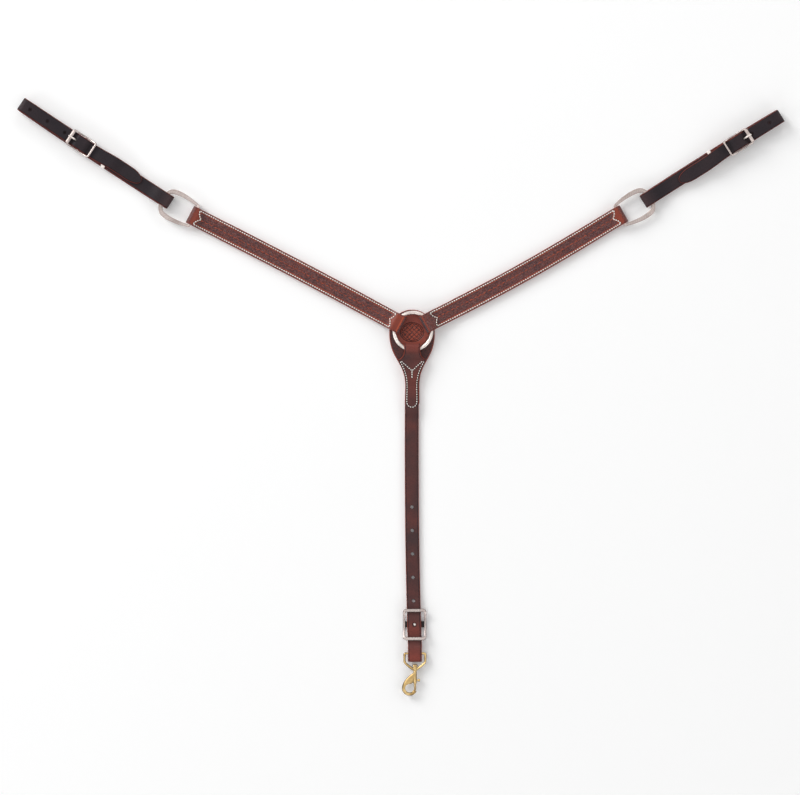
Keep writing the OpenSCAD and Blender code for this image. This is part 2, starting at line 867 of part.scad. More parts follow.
ring_shield();
tie_down_strap();
conway_buckle();
centre_ring();
shoulder_face(left);  // left_shoulder_face
shoulder_lining(left);  // left_shoulder_lining
shoulder_face(right);  // right_shoulder_face
shoulder_lining(right);  // right_shoulder_lining
dee(left);  // left_dee
dee(right);  // right_dee
tug_strap(left);  // left_tug_strap
tug_strap(right);  // right_tug_strap
buckle_frame(left);  // left_buckle_frame
buckle_frame(right);  // right_buckle_frame
buckle_roller(left);  // left_buckle_roller
buckle_roller(right);  // right_buckle_roller
buckle_tongue(left);  // left_buckle_tongue
buckle_tongue(right);  // right_buckle_tongue
chape_keeper(left);  // left_chape_keeper
chape_keeper(right);  // right_chape_keeper
snap_swivel_loop();
snap_body();
snap_bolt();
snap_spring();
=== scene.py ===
import json
import math

import bpy
import numpy as np
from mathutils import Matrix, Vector


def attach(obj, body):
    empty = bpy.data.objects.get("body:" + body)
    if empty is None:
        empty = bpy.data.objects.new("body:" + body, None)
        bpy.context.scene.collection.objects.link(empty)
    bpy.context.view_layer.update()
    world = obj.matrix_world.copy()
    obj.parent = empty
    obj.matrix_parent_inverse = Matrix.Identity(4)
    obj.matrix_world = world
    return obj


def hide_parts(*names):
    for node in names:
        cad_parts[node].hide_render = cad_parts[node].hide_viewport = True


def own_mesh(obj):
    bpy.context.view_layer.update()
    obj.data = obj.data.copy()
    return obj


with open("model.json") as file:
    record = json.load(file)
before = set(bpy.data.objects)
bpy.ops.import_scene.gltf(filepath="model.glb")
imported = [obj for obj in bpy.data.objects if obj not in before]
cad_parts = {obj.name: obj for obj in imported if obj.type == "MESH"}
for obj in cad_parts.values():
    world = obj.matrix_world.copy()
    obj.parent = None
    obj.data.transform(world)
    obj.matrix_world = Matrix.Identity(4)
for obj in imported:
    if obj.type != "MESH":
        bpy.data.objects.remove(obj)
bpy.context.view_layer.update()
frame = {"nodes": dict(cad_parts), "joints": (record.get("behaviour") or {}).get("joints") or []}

# Lengths below are in millimetres until a mesh is made
MM = 0.001
JOINTS = {j["name"]: j for j in frame["joints"]}
SIDES = ("left", "right")

# Leather
SHOULDER_T = 2.2
TUG_T = 2.4
TIE_T = 2.4
SHIELD_T = 2.4
LOOP_GAP = 0.3
LAY_GAP = 0.3
PLY_GAP = 0.1
SHOULDER_TURN = 52
RING_BRACE = {"left": (15, 19.5), "right": (16, 22)}
DEE_BRACE = (10.5, 16.5)
RAIL_FROM, RAIL_TO = 15, 10
STRAP_DROP = 24
RISE_FROM, RISE_TO = 14, 4
STEP_GAP, STEP_RUN = 2, 12
SHIELD_RIM = 7
SHOULDER_BOW = {"left": -1.4, "right": -3.6}
BOW_MARGIN = 14
SHIELD_DROP = 1.6
SHIELD_PULL = 40
SHIELD_NECK = 76
TIE_HALF = 9.5
SHIELD_SHIFT = -1.2
# Painted shade on each shoulder's ring fold, by side, and how far along the strap it reaches
FOLD_SHADE = {"left": 0.0, "right": 0.42}
FOLD_END = 27
# Painted highlight on each shoulder's ring-fold crest, by side
CREST_HIGHLIGHT = {"left": 0.9, "right": 0.3}
UNDER_SHIFT = 1.8
CHAPE_SHIFT = 0.7
BILLET_SHIFT = -2.2
SHIFT_RUN = 40

# Hardware
DEE_BAR = 4.5
DEE_T = 3.2
DEE_SIDE = 5.6
DEE_POWER = 4.2
DEE_ARC_R = 26
DEE_RING = 64
DEE_STEPS = 110
BAR_FACE = 0.2
BAND_EDGE = 0.66
BAND_SINK = 0.3
HATCH_PITCH = 3.4
BUCKLE_BAR = 3
BUCKLE_RAIL = 2.2
ROLLER_D = 4.9
ROLLER_SOFT = 0.25
TONGUE_W = 2.6
TONGUE_T = 2
KEEPER_T = 0.8
KEEPER_SHIFT = 0.7
KEEPER_MORE = 0.4
BILLET_END = 96
BILLET_POINT = 21
BILLET_PITCH = 28.2
HOLE_AT = {"left": 27, "right": 21.6}
HOLE_MARGIN = 12
PUNCH_R = 2
TIE_PUNCH_R = 2.2
TONGUE_PUNCH_R = 2.3
CREST_HALF = 5
DIP_FROM = 11
DIP_HOLE = 8.2
TONGUE_REST = 3
KEEPER_BACK = 24
HEAD_TURN = 62
TIE_PITCH = 32
TIE_HOLES = 6
CONWAY_END = 4.6
CONWAY_SIDE = 3.2
CONWAY_T = 2.4
CONWAY_MID = 8.6
CONWAY_LIFT = 1.6
STUD_R = 1.8
STUD_DOME = 1.4
LOOP_WIRE = 3.1

# Points round a wire, a turned piece and the hub ring, points along that ring, turns of a rounded end,
# angles that stay sharp, and the masks that leather has on its points
WIRE_RING = 24
TURN_RING = 40
HUB_RING = 32
HUB_STEPS = 180
CAP_TURNS = np.radians([20, 40, 60, 80])
METAL_SHARP = 40
LEATHER_SHARP = 60
# The leather's masks: antique darkening with painted shade, wear with painted highlights, dyed edges, and the
# back
MASKS = ("deep", "tone", "rim", "flesh")

# Steps along the straps, their rolled edges, and the rings of points down a punched hole:
# share of the way to the hole's wall, depth below the grain side or height above the back, and painted shade
STRAP_STEP = 0.7
SHOULDER_STEP = 0.53
LINING_STEP = 2.0
BEND = 4
EDGE_POWER = 0.7
HOLE_ROOM = 1.2
HOLE_TOP = ((0.5, 0, 0.0), (0.8, 0, 0.3), (0.93, 0.1, 0.7), (1.0, 0.35, 1.0))
HOLE_BACK = ((1.0, 0.2, 1.0), (0.85, 0, 0.5))
STITCH_SINK = 0.3


def joint_mm(name):
    return np.array(JOINTS[name]["pos_m"], float) * 1000


def heading(start, end):
    return math.atan2(end[1] - start[1], end[0] - start[0])


class Spot:
    """A frame on the collar: u runs along a strap, v across it and z up."""

    def __init__(self, origin, angle):
        self.origin = np.array(origin[:2], float)
        self.along = np.array([math.cos(angle), math.sin(angle)])
        self.across = np.array([-math.sin(angle), math.cos(angle)])

    def __call__(self, u, v, z):
        u, v, z = np.broadcast_arrays(*(np.asarray(x, float) for x in (u, v, z)))
        xy = self.origin + u[..., None] * self.along + v[..., None] * self.across
        return np.concatenate([xy, z[..., None]], -1) * MM

    def points(self, node):
        """The u, v, z of a CAD node's points."""
        co = np.array([p.co for p in frame["nodes"][node].data.vertices]) * 1000
        flat = co[:, :2] - self.origin
        return np.stack([flat @ self.along, flat @ self.across, co[:, 2]], 1)

    def box(self, node):
        """Lowest and highest u, v, z of a CAD node."""
        points = self.points(node)
        return points.min(0).tolist(), points.max(0).tolist()


HUB = np.zeros(3)
TIE = Spot(HUB, heading(HUB, joint_mm("snap_loop_tilt")))
SHOULDER, DEE, TUG = {}, {}, {}
for side_name in SIDES:
    joints = ("_dee_tilt", "_tug_swing", "_tongue_lift")
    dee_bar, dee_arc, tongue_bar = (joint_mm(side_name + joint) for joint in joints)
    SHOULDER[side_name] = Spot(HUB, heading(HUB, dee_bar))
    DEE[side_name] = Spot(dee_bar, heading(HUB, dee_bar))
    TUG[side_name] = Spot(dee_arc, heading(dee_arc, tongue_bar))


# Curves in a plane, as arrays of points
def ramp(a, b, steps=20):
    s = np.linspace(0, 1, steps + 1)
    return np.stack([a[0] + (b[0] - a[0]) * s, a[1] + (b[1] - a[1]) * s * s * (3 - 2 * s)], 1)


def arc(c, r, a, b, steps=28):
    t = np.radians(np.linspace(a, b, steps + 1))
    return np.stack([c[0] + r * np.cos(t), c[1] + r * np.sin(t)], 1)


def curve(a, b, c, d, steps=28):
    t = np.linspace(0, 1, steps + 1)[:, None]
    k = 1 - t
    a, b, c, d = (np.array(p, float) for p in (a, b, c, d))
    return k**3 * a + 3 * k * k * t * b + 3 * k * t * t * c + t**3 * d


def joined(*parts):
    """One line of points, without repeats."""
    points = np.concatenate([np.atleast_2d(np.array(p, float)) for p in parts])
    step = np.linalg.norm(np.diff(points, axis=0), axis=1)
    return points[np.concatenate([[True], step > 1e-4])]


def lengths(points):
    return np.concatenate([[0], np.cumsum(np.linalg.norm(np.diff(points, axis=0), axis=1))])


def spread(points, count):
    """A number of points evenly along a line, after their distances along it."""
    s = lengths(points)
    new = np.linspace(0, s[-1], count)
    return new, np.stack([np.interp(new, s, axis) for axis in points.T], 1)


def resample(points, step):
    """Points about a step apart along a line, after their distances along it."""
    return spread(points, max(2, int(round(lengths(points)[-1] / step)) + 1))


def bump(x, width):
    return np.exp(-((x / width) ** 2))


def circle(count):
    """Angles evenly round a circle."""
    return np.linspace(0, 2 * np.pi, count, endpoint=False)


def held(x):
    """A value kept between 0 and 1."""
    return np.clip(x, 0, 1)


def unit(rows):
    return rows / np.linalg.norm(rows, axis=1)[:, None]


def xyz(x, y, z):
    """Points from their coordinates, each a row of values or one value for all."""
    return np.stack(np.broadcast_arrays(x, y, z), 1)


def line_distance(u, v, line):
    """Distance from points to a line of points."""
    best = np.full(np.shape(u), 1e9)
    for a, b in zip(line[:-1], line[1:]):
        d = b - a
        t = held(((u - a[0]) * d[0] + (v - a[1]) * d[1]) / (d @ d))
        best = np.minimum(best, np.hypot(u - a[0] - t * d[0], v - a[1] - t * d[1]))
    return best


# Meshes
def edge_lines(skin, ring, level, soft=0.3, turned=False):
    """Painted shade at the sides of a swept or turned skin whose rings all hold the same number of points."""
    t = circle(ring)
    side = held((np.abs(np.sin(t) if turned else np.cos(t)) - level) / soft)
    return np.tile(side, len(skin[0]) // ring)


def add_object(name, data):
    item = bpy.data.objects.new(name, data)
    bpy.context.scene.collection.objects.link(item)
    return item


def make_piece(name, skin, material, body, node=None, masks=None, sharp=METAL_SHARP):
    """A mesh of the collar, from points in metres, that moves with a body and may replace a CAD node."""
    verts, faces = skin
    mesh = bpy.data.meshes.new(name)
    mesh.from_pydata(verts.tolist(), [], faces)
    mesh.validate()
    mesh.polygons.foreach_set("use_smooth", np.ones(len(mesh.polygons), bool))
    mesh.set_sharp_from_angle(angle=math.radians(sharp))
    for mask, values in (masks or {}).items():
        layer = mesh.attributes.new(mask, "FLOAT", "POINT")
        layer.data.foreach_set("value", np.asarray(values, np.float32))
    mesh.materials.append(material)
    piece = add_object(name, mesh)
    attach(piece, body)
    if node:
        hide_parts(node)
    return piece


def loft(rings, closed=False, spot=None):
    """Points and faces of a skin over rings of equal count, with end caps unless it closes on itself."""
    rings = np.asarray(rings, float)
    n, m = rings.shape[:2]
    verts = rings.reshape(-1, 3)
    faces = []
    for i in range(n if closed else n - 1):
        a, b = i * m, ((i + 1) % n) * m
        faces += [(a + k, a + (k + 1) % m, b + (k + 1) % m, b + k) for k in range(m)]
    if not closed:
        faces.append(tuple(range(m - 1, -1, -1)))
        faces.append(tuple((n - 1) * m + k for k in range(m)))
    return spot(*verts.T) if spot else verts, faces


def merged(skins):
    """Several (points, faces) as one."""
    faces, start = [], 0
    for points, corners in skins:
        faces += [tuple(i + start for i in face) for face in corners]
        start += len(points)
    return np.concatenate([points for points, corners in skins]), faces


def section(width, height, power, count=WIRE_RING):
    """A rounded cross-section, from an ellipse at power 2 towards a box as it grows."""
    t = circle(count)
    round_shape = np.stack([np.cos(t), np.sin(t)], 1)
    return np.sign(round_shape) * np.abs(round_shape) ** (2 / power) * [width / 2, height / 2]


def sweep(path, sections, up=(0, 0, 1), closed=False, spot=None, rounded=0.0):
    """A skin along a path: each section's first axis lies across the path and its second along up."""
    path = np.asarray(path, float)
    if closed:
        tangent = unit(np.roll(path, -1, 0) - np.roll(path, 1, 0))
    else:
        tangent = unit(np.gradient(path, axis=0))
    up = np.broadcast_to(np.array(up, float), path.shape)
    rise = unit(up - (up * tangent).sum(1)[:, None] * tangent)
    across = np.cross(tangent, rise)
    shapes = np.broadcast_to(sections, (len(path), *np.shape(sections)[-2:]))
    rings = path[:, None] + shapes[..., :1] * across[:, None] + shapes[..., 1:] * rise[:, None]

    def cap(i, turns, way):
        reach = way * rounded * np.abs(shapes[i]).max() * tangent[i]
        return [path[i] + (rings[i] - path[i]) * math.cos(a) + reach * math.sin(a) for a in turns]

    if rounded:
        rings = [*cap(0, CAP_TURNS[::-1], -1), *rings, *cap(-1, CAP_TURNS, 1)]
    return loft(rings, closed, spot)


def revolve(profile, origin, axis, count=TURN_RING, closed=False, spot=TIE, side=(0, 0, 1)):
    """A turned skin: the profile holds (distance along the axis, radius)."""
    axis, side = np.array(axis, float), np.array(side, float)
    t = circle(count)[:, None]
    spokes = np.cos(t) * side + np.sin(t) * np.cross(axis, side)
    rings = [np.array(origin, float) + x * axis + max(r, 0.01) * spokes for x, r in profile]
    return loft(rings, closed, spot)


class Strap:
    """A strip of leather along a side-view path (u, z), with its grain side on the path's left."""

    def __init__(self, spot, path, thick, step, half=None, bow=None):
        self.spot, self.thick, self.half = spot, thick, half
        self.bow = bow or (lambda s, u: 0 * u)
        self.s, points = resample(path, step)
        self.u, self.z = points.T
        along = unit(np.gradient(points, self.s, axis=0))
        self.nu, self.nz = -along[:, 1], along[:, 0]
        self.low_at = self.s[np.argmin(self.u)]
        self.high_at = self.s[np.argmax(self.u)]

    def place(self, s, v, n):
        """Where a point of the strap lies: s along it, v across it, n above its middle."""
        u, z, nu, nz = (np.interp(s, self.s, values) for values in (self.u, self.z, self.nu, self.nz))
        return self.spot(u + n * nu, v + self.bow(s, u), z + n * nz)

    def reach(self, u, first, last):
        """The length s at which the run between two lengths passes u."""
        inside = (self.s >= first) & (self.s <= last)
        s, us = self.s[inside], self.u[inside]
        if us[-1] < us[0]:
            s, us = s[::-1], us[::-1]
        return np.interp(u, us, s)

    def on_top(self, s):
        """1 on the upper run, between the folds at the strap's lowest and highest u."""
        return ((s > self.low_at) & (s < self.high_at)).astype(float)

    def punch(self, hole, v, gone, start):
        """A hole's points, counted from start, and its faces; the strap's faces it cuts are marked as gone."""
        hole_s, hole_v, hole_r = hole
        ring = v.shape[1]
        grain = slice(ring // 2 - BEND)
        # The back's column under the grain's column j is under - j
        under = ring - BEND - 1
        room = np.array([-1, 1]) * (hole_r + HOLE_ROOM)
        i0, i1 = np.searchsorted(self.s, hole_s + room)
        j0, j1 = np.searchsorted(v[np.searchsorted(self.s, hole_s), grain], hole_v + room)
        gone[i0:i1, j0:j1] = True
        gone[i0:i1, under - j1 : under - j0] = True
        loop = [(i, j0) for i in range(i0, i1)] + [(i1, j) for j in range(j0, j1)]
        loop += [(i, j1) for i in range(i1, i0, -1)] + [(i0, j) for j in range(j1, j0, -1)]
        i, j = np.transpose(loop)
        edge = np.stack([self.s[i], v[i, j]])
        turn = np.arctan2(edge[1] - hole_v, edge[0] - hole_s)
        wall = [[hole_s], [hole_v]] + hole_r * np.stack([np.cos(turn), np.sin(turn)])
        # Painted shade darkens the rings towards the hole's wall
        depths = [(share, self.thick / 2 - drop, dark) for share, drop, dark in HOLE_TOP]
        depths += [(share, rise - self.thick / 2, dark) for share, rise, dark in HOLE_BACK]
        points = np.zeros((7, len(depths), len(loop)))
        for k, (share, height, dark) in enumerate(depths):
            points[:2, k] = edge + (wall - edge) * share
            points[2:4, k] = [[height], [dark]]
        inside = start + np.arange(points[0].size).reshape(points[0].shape)
        levels = [i * ring + j, *inside, i * ring + under - j]
        faces = []
        for a, b in zip(levels[:-1], levels[1:]):
            faces += np.column_stack([a, b, np.roll(b, -1), np.roll(a, -1)]).tolist()
        return points.reshape(7, -1), faces

    def solid(self, columns, relief=None, holes=(), edge=1.0):
        """The strap's skin and masks: columns are shares of its width, relief lifts its grain side."""
        n, k, t = len(self.s), len(columns), self.thick
        ring = 2 * (k + BEND)
        grain, back = slice(k), slice(k + BEND, ring - BEND)
        half = np.maximum(self.half(self.s, self.u), 0.05)[:, None]
        r = np.minimum(edge, half * 0.6)
        s = np.repeat(self.s[:, None], ring, 1)
        u = np.repeat(self.u[:, None], k, 1)
        v, lift, deep, tone, rim, flesh = np.zeros((6, n, ring))
        v[:, grain] = columns * (half - r)
        v[:, back] = columns[::-1] * (half - r)
        lift[:, grain] = t / 2
        lift[:, back] = -t / 2
        flesh[:, back] = 1
        turn = np.pi / 2 - np.pi * np.arange(1, BEND + 1) / (BEND + 1)
        for side, way in ((slice(k, k + BEND), 1), (slice(ring - BEND, ring), -1)):
            v[:, side] = way * (half - r + r * np.abs(np.cos(turn)) ** EDGE_POWER)
            lift[:, side] = way * t / 2 * np.sin(turn)
            rim[:, side] = 1
        if relief:
            rise, deep[:, grain], tone[:, grain] = relief(s[:, grain], u, v[:, grain], half)
            lift[:, grain] += rise
        gone = np.zeros((n - 1, ring), bool)
        points, hole_faces = [np.reshape([s, v, lift, deep, tone, rim, flesh], (7, -1))], []
        for hole in holes:
            more, quads = self.punch(hole, v, gone, sum(block.shape[1] for block in points))
            points.append(more)
            hole_faces += quads
        s, v, lift, *shades = np.concatenate(points, 1)
        i, q = np.nonzero(~gone)
        a, b, after = i * ring, (i + 1) * ring, (q + 1) % ring
        faces = np.column_stack([a + q, b + q, b + after, a + after]).tolist() + hole_faces
        faces.append(list(range(ring)))
        faces.append(list(range(n * ring - 1, (n - 1) * ring - 1, -1)))
        verts = self.place(s, v, lift)
        used = np.zeros(len(verts), bool)
        used[[corner for face in faces for corner in face]] = True
        order = (np.cumsum(used) - 1).tolist()
        faces = [[order[corner] for corner in face] for face in faces]
        return (verts[used], faces), {name: shade[used] for name, shade in zip(MASKS, shades)}


def even_columns(half, edge, fine, coarse, band):
    """Shares of a strap's width, close together near its edges."""
    side = np.arange(band, 0, -fine)
    inner = half - edge - band
    middle = np.linspace(-inner, inner, max(3, int(round(2 * inner / coarse)) + 1))
    line = np.concatenate([-(inner + side), middle, inner + side[::-1]])
    return line / (half - edge)


def stitch_row(strap, line, pitch, length, radius):
    """Thread stitches along a line of (s, v) points on a strap."""
    at, points = resample(np.array(line, float), 0.1)
    count = max(1, int(round(at[-1] / pitch)))
    steps = np.linspace(-1, 1, 7)
    n = strap.thick / 2 - STITCH_SINK + radius * 0.55 * (1 - steps**4)
    size = 2 * radius * np.sqrt(np.clip(1 - (steps * 0.93) ** 6, 0.05, 1))
    shapes = [section(w, w * 0.8, 2, 10) for w in size]
    parts = []
    for i in range(count):
        where = (i + 0.5) * at[-1] / count + steps * length / 2
        s, v = (np.interp(where, at, axis) for axis in points.T)
        parts.append(sweep(strap.place(s, v, n) / MM, shapes))
    verts, faces = merged(parts)
    return verts * MM, faces


def stitching(name, strap, lines, sizes, body):
    """Thread along lines of (u, v) points on a strap's upper run: sizes hold pitch, length and radius."""
    rows = [[(strap.reach(u, strap.low_at, strap.high_at), v) for u, v in line] for line in lines]
    skin = merged([stitch_row(strap, row, *size) for row, size in zip(rows, sizes)])
    make_piece(name, skin, THREAD, body)


# Materials
def srgb(rgb):
    c = np.array(rgb, float) / 255
    linear = np.where(c <= 0.04045, c / 12.92, ((c + 0.055) / 1.055) ** 2.4)
    return (*linear.tolist(), 1.0)


class Graph:
    """Short names for building the nodes of a material or a world."""

    def __init__(self, owner):
        owner.use_nodes = True
        self.owner = owner
        self.nodes = owner.node_tree.nodes
        self.links = owner.node_tree.links

    def put(self, kind, inputs=None, **settings):
        node = self.nodes.new(kind)
        for key, value in settings.items():
            setattr(node, key, value)
        for key, value in (inputs or {}).items():
            self.feed(node.inputs[key], value)
        return node

    def feed(self, socket, value):
        if isinstance(value, bpy.types.NodeSocket):
            self.links.new(value, socket)
        else:
            socket.default_value = value

    def texture(self, kind, inputs, **settings):
        place = self.put("ShaderNodeTexCoord").outputs["Object"]
        return self.put(kind, {"Vector": place, **inputs}, **settings).outputs

    def noise(self, scale, detail, roughness):
        inputs = {"Scale": scale, "Detail": detail, "Roughness": roughness}
        return self.texture("ShaderNodeTexNoise", inputs)["Fac"]

    def cells(self, scale):
        return self.texture("ShaderNodeTexVoronoi", {"Scale": scale}, feature="SMOOTH_F1")["Distance"]

    def mask(self, name):
        return self.put("ShaderNodeAttribute", attribute_name=name).outputs["Fac"]

    def mix(self, share, a, b):
        return self.put("ShaderNodeMix", {0: share, 6: a, 7: b}, data_type="RGBA").outputs[2]

    def span(self, value, low, high, start=0.0, end=1.0):
        """A value between start and end, carried to the range from low to high."""
        inputs = {"Value": value, "From Min": start, "From Max": end, "To Min": low, "To Max": high}
        return self.put("ShaderNodeMapRange", inputs).outputs["Result"]

    def math(self, operation, a, b):
        return self.put("ShaderNodeMath", {0: a, 1: b}, operation=operation).outputs[0]

    def times(self, a, b):
        return self.math("MULTIPLY", a, b)

    def relief(self, height, strength, distance):
        node = self.put("ShaderNodeBump", {"Height": height, "Strength": strength, "Distance": distance})
        self.set(Normal=node.outputs["Normal"])

    def set(self, **values):
        """Feeds the material's shader, with _ for the spaces in its sockets' names."""
        for key, value in values.items():
            self.feed(self.nodes["Principled BSDF"].inputs[key.replace("_", " ")], value)
        return self.owner


def new_material(name):
    return Graph(bpy.data.materials.new(name))


GLINT = srgb((134, 104, 102))


def leather(name, base, worn, dark, rim, rough, sheen, glint=0.0):
    """Oiled leather: antique in the recesses, worn on the crowns, burnished red edges, fibrous back, with
    painted shade, painted highlights and, where asked, painted glints.
    """
    base, worn, dark, rim = (srgb(rgb) for rgb in (base, worn, dark, rim))
    g = new_material(name)
    deep, tone = g.mask("deep"), g.mask("tone")
    broad = g.noise(26, 3, 0.55)
    fine = g.noise(640, 2, 0.6)
    speck = g.noise(900, 3, 0.6)
    colour = g.mix(g.span(broad, 0, 0.28, 0.36, 0.66), base, worn)
    # The worn colour also serves as painted highlight where the mask asks for it
    colour = g.mix(tone, colour, worn)
    speckle = g.times(g.span(fine, 0, 1, 0.49, 0.57), g.span(deep, 0.2, 0.9, 0, 0.25))
    colour = g.mix(speckle, colour, dark)
    # The dark colour stands for antique in the recesses and for painted shade
    colour = g.mix(deep, colour, dark)
    if glint:
        stamped = g.times(g.span(deep, 0, 1, 0.1, 0.3), g.span(tone, 1, 0, 0.15, 0.5))
        colour = g.mix(g.times(g.span(speck, 0, glint, 0.5, 0.6), stamped), colour, GLINT)
    colour = g.mix(g.times(g.mask("rim"), g.span(fine, 0.75, 1, 0.3, 0.7)), colour, rim)
    colour = g.mix(g.times(g.mask("flesh"), g.span(broad, 0.55, 0.85, 0.3, 0.7)), colour, worn)
    g.relief(g.math("ADD", g.cells(900), g.times(speck, 0.9)), strength=0.3, distance=0.0002)
    roughness = g.span(speck, rough - 0.07, rough + 0.12, 0.3, 0.7)
    return g.set(Base_Color=colour, Roughness=roughness, Specular_IOR_Level=sheen)


def metal(name, bright, dull, dark, rough, stipple, depth, mirror):
    """Plated or cast metal with soft tarnish, a fine surface and painted shade along its edges where its mask
    asks.
    """
    bright, dull, dark = (srgb(rgb) for rgb in (bright, dull, dark))
    g = new_material(name)
    broad = g.noise(55, 4, 0.55)
    fine = g.noise(stipple, 3, 0.6)
    colour = g.mix(g.span(broad, 0, 1, 0.38, 0.66), bright, dull)
    colour = g.mix(g.mask("deep"), colour, dark)
    g.relief(fine, strength=0.3, distance=depth)
    roughness = g.span(fine, rough - 0.05, rough + 0.1, 0.3, 0.7)
    return g.set(Base_Color=colour, Roughness=roughness, Metallic=mirror)


def thread(name, fresh, worn):
    g = new_material(name)
    fine = g.noise(1400, 3, 0.6)
    broad = g.noise(45, 2, 0.5)
    colour = g.mix(g.span(broad, 0, 0.6, 0.4, 0.7), srgb(fresh), srgb(worn))
    g.relief(fine, strength=0.4, distance=0.00015)
    return g.set(Base_Color=colour, Roughness=g.span(fine, 0.55, 0.75, 0.3, 0.7), Specular_IOR_Level=0.3)


SHOULDER_LEATHER = leather("shoulder_leather", (113, 54, 45), (186, 86, 58), (55, 43, 47), (138, 52, 31),
                           rough=0.34, sheen=0.16, glint=0.5)
TIE_LEATHER = leather("tie_down_leather", (67, 48, 48), (138, 68, 58), (40, 31, 34), (138, 54, 34),
                      rough=0.42, sheen=0.14)
TUG_LEATHER = leather("tug_leather", (39, 34, 38), (68, 52, 54), (20, 15, 17), (112, 47, 38),
                      rough=0.48, sheen=0.12)
RING_LEATHER = leather("ring_shield_leather", (127, 65, 57), (184, 86, 63), (50, 34, 36), (146, 58, 38),
                       rough=0.34, sheen=0.2)
NICKEL = metal("polished_nickel", (222, 214, 208), (196, 185, 179), (92, 80, 76),
               rough=0.26, stipple=300, depth=0.000006, mirror=0.7)
SATIN_NICKEL = metal("satin_nickel", (184, 172, 167), (164, 152, 148), (70, 58, 56),
                     rough=0.24, stipple=300, depth=0.000006, mirror=0.65)
MATTE_NICKEL = metal("matte_nickel", (194, 181, 176), (166, 152, 147), (84, 72, 68),
                     rough=0.32, stipple=900, depth=0.00002, mirror=0.5)
BRASS = metal("cast_brass", (198, 171, 120), (150, 122, 76), (46, 30, 14),
              rough=0.16, stipple=500, depth=0.00002, mirror=0.85)
# Near black as painted shade, for the Conway's centre bar
SHADE_DARK_STEEL = metal("blackened_steel", (42, 38, 38), (28, 25, 26), (20, 18, 18),
                   rough=0.42, stipple=900, depth=0.0001, mirror=0.8)
STEEL = metal("spring_steel", (150, 150, 152), (120, 120, 122), (70, 70, 72),
              rough=0.3, stipple=1200, depth=0.00005, mirror=1.0)
THREAD = thread("waxed_thread", (253, 250, 244), (236, 228, 216))


# Stamped patterns
ROW_PITCH = 7.1
ROW_GAP = 3.4


def basket(u, v, pitch):
    """Height of the basket stamp, 0 in the cuts and 1 on the crowns, laid diagonally."""
    cell = pitch / math.sqrt(2)
    p, q = (u + v) / math.sqrt(2) / cell, (u - v) / math.sqrt(2) / cell
    fp, fq = p - np.floor(p), q - np.floor(q)
    turned = (np.floor(p) + np.floor(q)) % 2 > 0.5
    along = np.where(turned, fq, fp)
    across = np.where(turned, fp, fq)
    crown = 1 - np.abs(2 * along - 1) ** 3
    ribs = 0.55 + 0.45 * np.abs(np.sin(3 * np.pi * across))
    sides = held(8 * np.minimum(across, 1 - across))
    return held(crown * ribs * sides)


def scales(u, v):
    """Height of a stamp of small arches in staggered rows along a strap, 1 on the arches."""
    height = np.zeros(np.shape(u))
    row = np.floor(v / ROW_GAP + 0.5)
    for step in (-1, 0, 1):
        k = row + step
        x = (u / ROW_PITCH + 0.5 * (k % 2)) % 1 - 0.5
        arch = k * ROW_GAP + 0.9 - 6 * x * x
        height = np.maximum(height, bump(v - arch, 0.7) * held(1.2 - 1.6 * np.abs(x)))
    return height


# Shoulder straps
ring_low, ring_high = TIE.box("centre_ring")
shield_low, shield_high = TIE.box("ring_shield")
RING_WIRE = ring_high[2] - ring_low[2]
RING_R = (ring_high[0] - ring_low[0] - RING_WIRE) / 2
RING_Z = joint_mm("ring_turn")[2]
SHIELD_R = SHIELD_DROP - shield_low[0]
SHIELD_REACH = shield_high[0]
DEE_Z = joint_mm("left_dee_tilt")[2]
STITCH_IN = 2.6
SHOULDER_STITCH = (3.4, 1.9, 0.68)
STAMP_DEPTH = 0.6
FOLD_CREST = 5.4
FOLD_EARS = 0.9
LINING_MORE = 0.15


def shoulder_path(near_fold, far_fold, bar):
    t = SHOULDER_T
    low, high = t / 2, 1.5 * t + PLY_GAP
    ring_bottom = SHIELD_T + LAY_GAP + t / 2
    ring_top = RING_Z + RING_WIRE / 2 + LOOP_GAP + t / 2
    wrap = DEE_BAR / 2 + LOOP_GAP + t / 2
    edge = SHIELD_R + SHIELD_RIM
    two = ring_bottom + t + PLY_GAP
    return joined(
        [near_fold + SHOULDER_TURN, low],
        ramp([edge + STRAP_DROP, low], [edge, ring_bottom]),
        arc([near_fold + ring_top - RING_Z + t / 2, RING_Z], ring_top - RING_Z, 270, 90),
        ramp([RING_R + RING_WIRE / 2 - 1, ring_top], [edge, two]),
        ramp([edge, two], [edge + STRAP_DROP, high]),
        ramp([bar - RISE_FROM, high], [bar - RISE_TO, DEE_Z + wrap]),
        arc([far_fold - wrap - t / 2, DEE_Z], wrap, 90, -90),
        [far_fold - SHOULDER_TURN, low],
    )


def brace(at, tip, half):
    """The brace-shaped stitch line across a strap's end, as (u, v) points."""
    reach = tip - at
    upper = curve([at, half], [at + reach * 0.2, half * 0.45], [at + reach * 0.35, half * 0.35], [tip, 0])
    return joined(upper, upper[::-1] * [1, -1])


